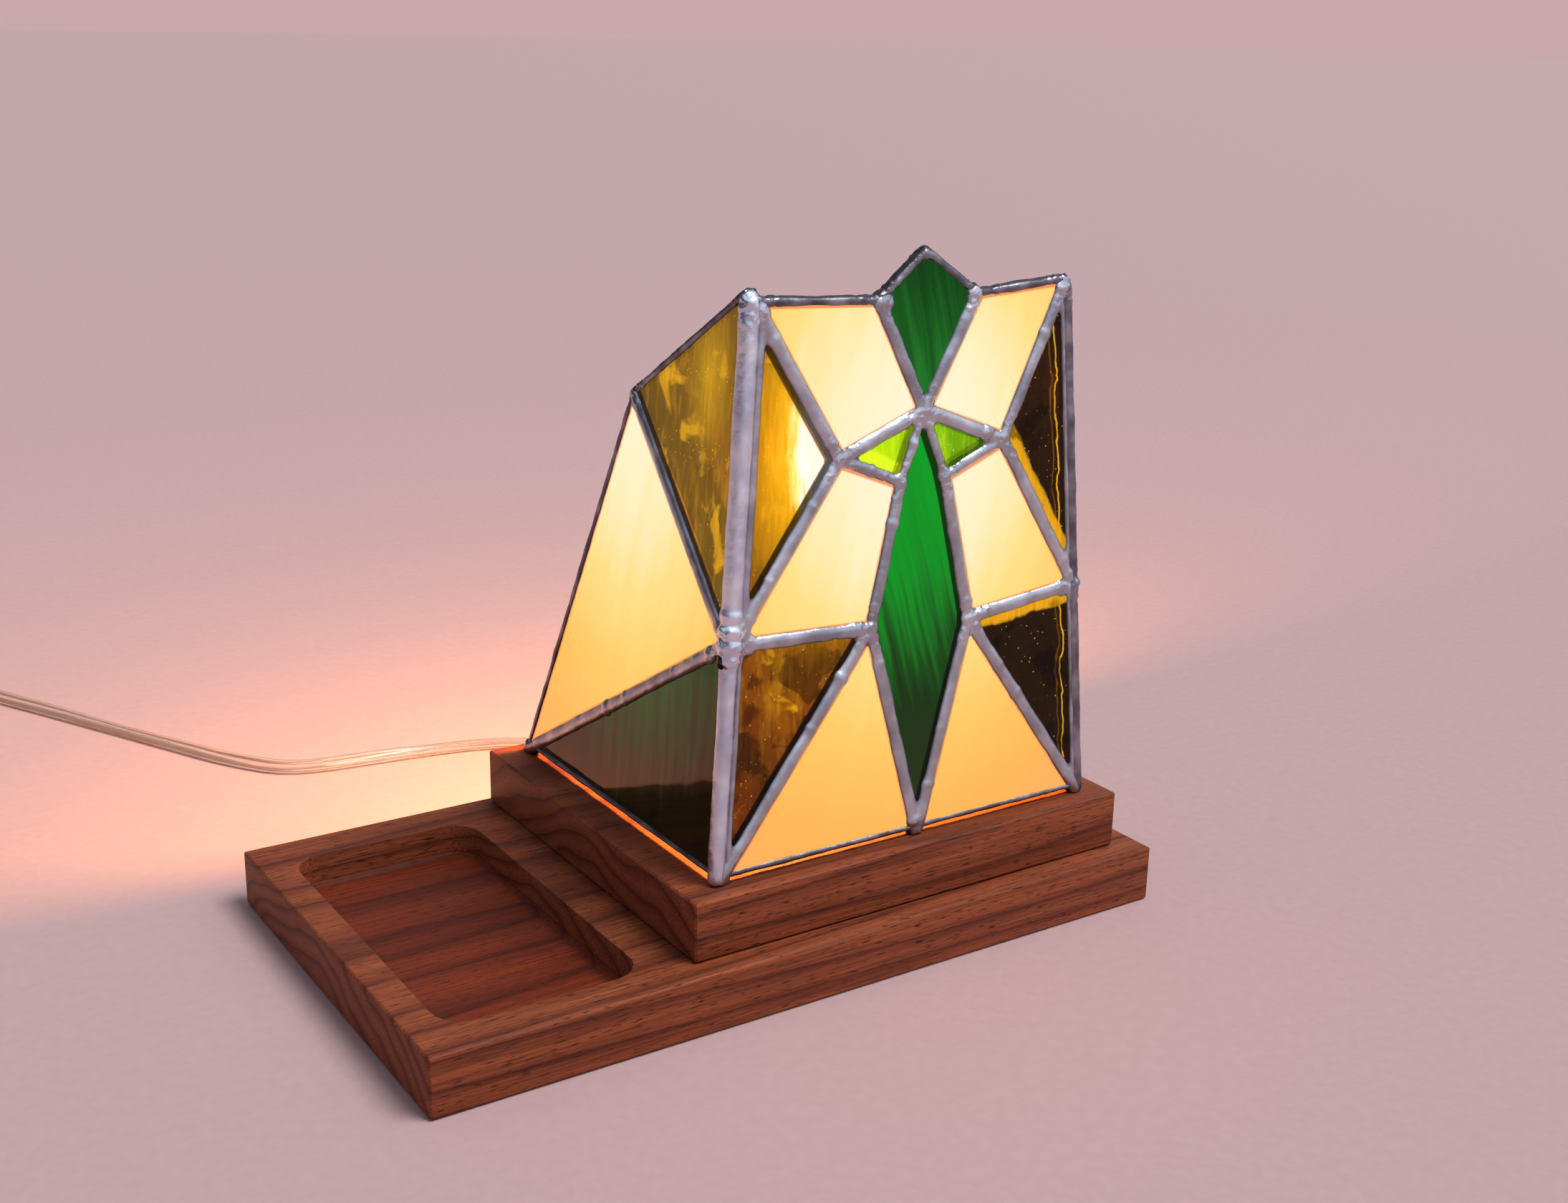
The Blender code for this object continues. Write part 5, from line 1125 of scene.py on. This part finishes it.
def makeBulbGlobe():
    b = bulb
    center = b["length"] - b["globe"]
    joinR, joinZ = b["globe"] * math.cos(b["slope"]), center - b["globe"] * math.sin(b["slope"])
    bendZ = joinZ - (joinR - b["neck"]) / math.tan(b["slope"])
    outline = [(b["neck"], b["neckFoot"])]
    for i in range(b["neckSteps"]):
        t = i / b["neckSteps"]
        outline.append((b["neck"] * (1 - t) ** 2 + b["neck"] * 2 * t * (1 - t) + joinR * t * t,
                        b["neckTop"] * (1 - t) ** 2 + bendZ * 2 * t * (1 - t) + joinZ * t * t))
    for i in range(b["globeSteps"]):
        a = -b["slope"] + (math.pi / 2 + b["slope"]) * i / b["globeSteps"]
        outline.append((b["globe"] * math.cos(a), center + b["globe"] * math.sin(a)))
    outerTip, innerTip = b["tip"]
    outline.append((outerTip, b["length"]))
    inside = []  # the wall is taken off the radius, and near the top off the height as well
    for r, z in outline[::-1]:
        inside.append((max(r - b["wall"], innerTip), z - b["wall"] * (r < b["tipReach"] and z > center)))
    return turnPiece("frosted_globe", outline + inside, 64, Matrix.Translation(b["foot"]))


frostedGlobe = makeBulbGlobe()
frostedGlobe.visible_shadow = False  # the lamp inside it lights the shade
dress(frostedGlobe, frostedGlass, "bulb", "frosted_glass", "bulb_globe")
bulbData = bpy.data.lights.new("bulbLight", "POINT")
bulbData.energy = bulb["watts"]
bulbData.color = hexColor(bulb["lightColor"])[:3]
bulbData.shadow_soft_size = bulb["lightSize"]
bulbLight = bpy.data.objects.new("bulbLight", bulbData)
scene.collection.objects.link(bulbLight)
bulbLight.location = Vector(bulb["foot"]) + Vector((0, 0, bulb["length"] - bulb["globe"]))
bulbLight.parent = frame["bodies"]["bulb"]

# Screw cap of the bulb: thin rolled metal with a round thread
screwCap = {"radius": 0.0132, "inner": 0.0128, "foot": 0.0045, "shoulder": 0.0072, "top": 0.026,
            "hole": 0.0093, "pitch": 0.00363, "depth": 0.0007, "rows": 60,
            "lip": (0.0012, 0.0008), "fade": 0.002, "plainTop": 0.0015}  # the thread fades out at both ends


def makeScrewCap():
    c = screwCap
    outline = [(c["hole"], c["foot"])]
    for i in range(c["rows"] + 1):
        outline.append((c["radius"], c["shoulder"] + (c["top"] - c["shoulder"]) * i / c["rows"]))
    outline += [(c["inner"], c["top"]), (c["inner"], c["shoulder"] + c["lip"][0]),
                (c["hole"], c["foot"] + c["lip"][1])]
    cap = turnPiece("screw_cap", outline, 64)
    for v in cap.data.vertices:
        radius = math.hypot(v.co.x, v.co.y)
        if radius > c["radius"] - 1e-5:
            fade = ease((v.co.z - c["shoulder"]) / c["fade"])
            fade *= ease((c["top"] - c["plainTop"] - v.co.z) / c["fade"])
            wave = 0.5 - 0.5 * math.cos(math.atan2(v.co.y, v.co.x) - 2 * math.pi * v.co.z / c["pitch"])
            drawn = (radius - c["depth"] * wave * fade) / radius
            v.co.x, v.co.y = v.co.x * drawn, v.co.y * drawn
    cap.matrix_world = Matrix.Translation(bulb["foot"])
    pick(cap)
    bpy.ops.object.transform_apply(location=True)
    bpy.ops.object.shade_smooth_by_angle(angle=math.radians(50))
    return cap


dress(makeScrewCap(), aluminium, "bulb", "aluminium", "bulb_cap")
print("bulb made")

# Lampholder and its key: the solids, rounded
for nodeName, pieceName, soften in (
    ("seat_washer", "brass_washer", 0.0003), ("socket_cap", "brass_cap", 0.0003), ("socket_shell", "brass_shell", 0),
):
    piece = copyNode(nodeName, pieceName)
    if soften:
        roundEdges(piece, soften, 40)
    smoothOver(piece, 35)
    dress(piece, brass, "base", "brass", nodeName)
turnKey = copyNode("switch_key", "turn_key", flatten=False)
bpy.ops.object.mode_set(mode="EDIT")
bpy.ops.mesh.select_all(action="SELECT")
bpy.ops.mesh.tris_convert_to_quads()
bpy.ops.object.mode_set(mode="OBJECT")
applyModifier(turnKey, "SUBSURF", levels=2, render_levels=2)
smoothOver(turnKey, 60)
dress(turnKey, brass, "key", "brass", "switch_key")

# What stays as its solid takes its finish here
finishes = {
    "base_screw_left": platedSteel, "base_screw_right": platedSteel, "lamp_nipple": platedSteel,
    "nipple_nut": brass, "socket_liner": fibreBoard, "switch_block": phenolic, "screw_shell": brass,
    "centre_contact": brass, "terminal_screw_left": brass, "terminal_screw_right": brass,
    "core_wire_left": brass, "core_wire_right": brass, "supply_lead": clearPvc, "bulb_stem": stemGlass,
    "bulb_filament": tungsten, "bulb_insulator": phenolic, "bulb_tip": platedSteel,
    "plug_blade_left": brass, "plug_blade_right": brass,
}
for nodeName, material in finishes.items():
    nodes[nodeName].data.materials.clear()
    nodes[nodeName].data.materials.append(material)
print("lampholder finished")

bpy.context.view_layer.update()
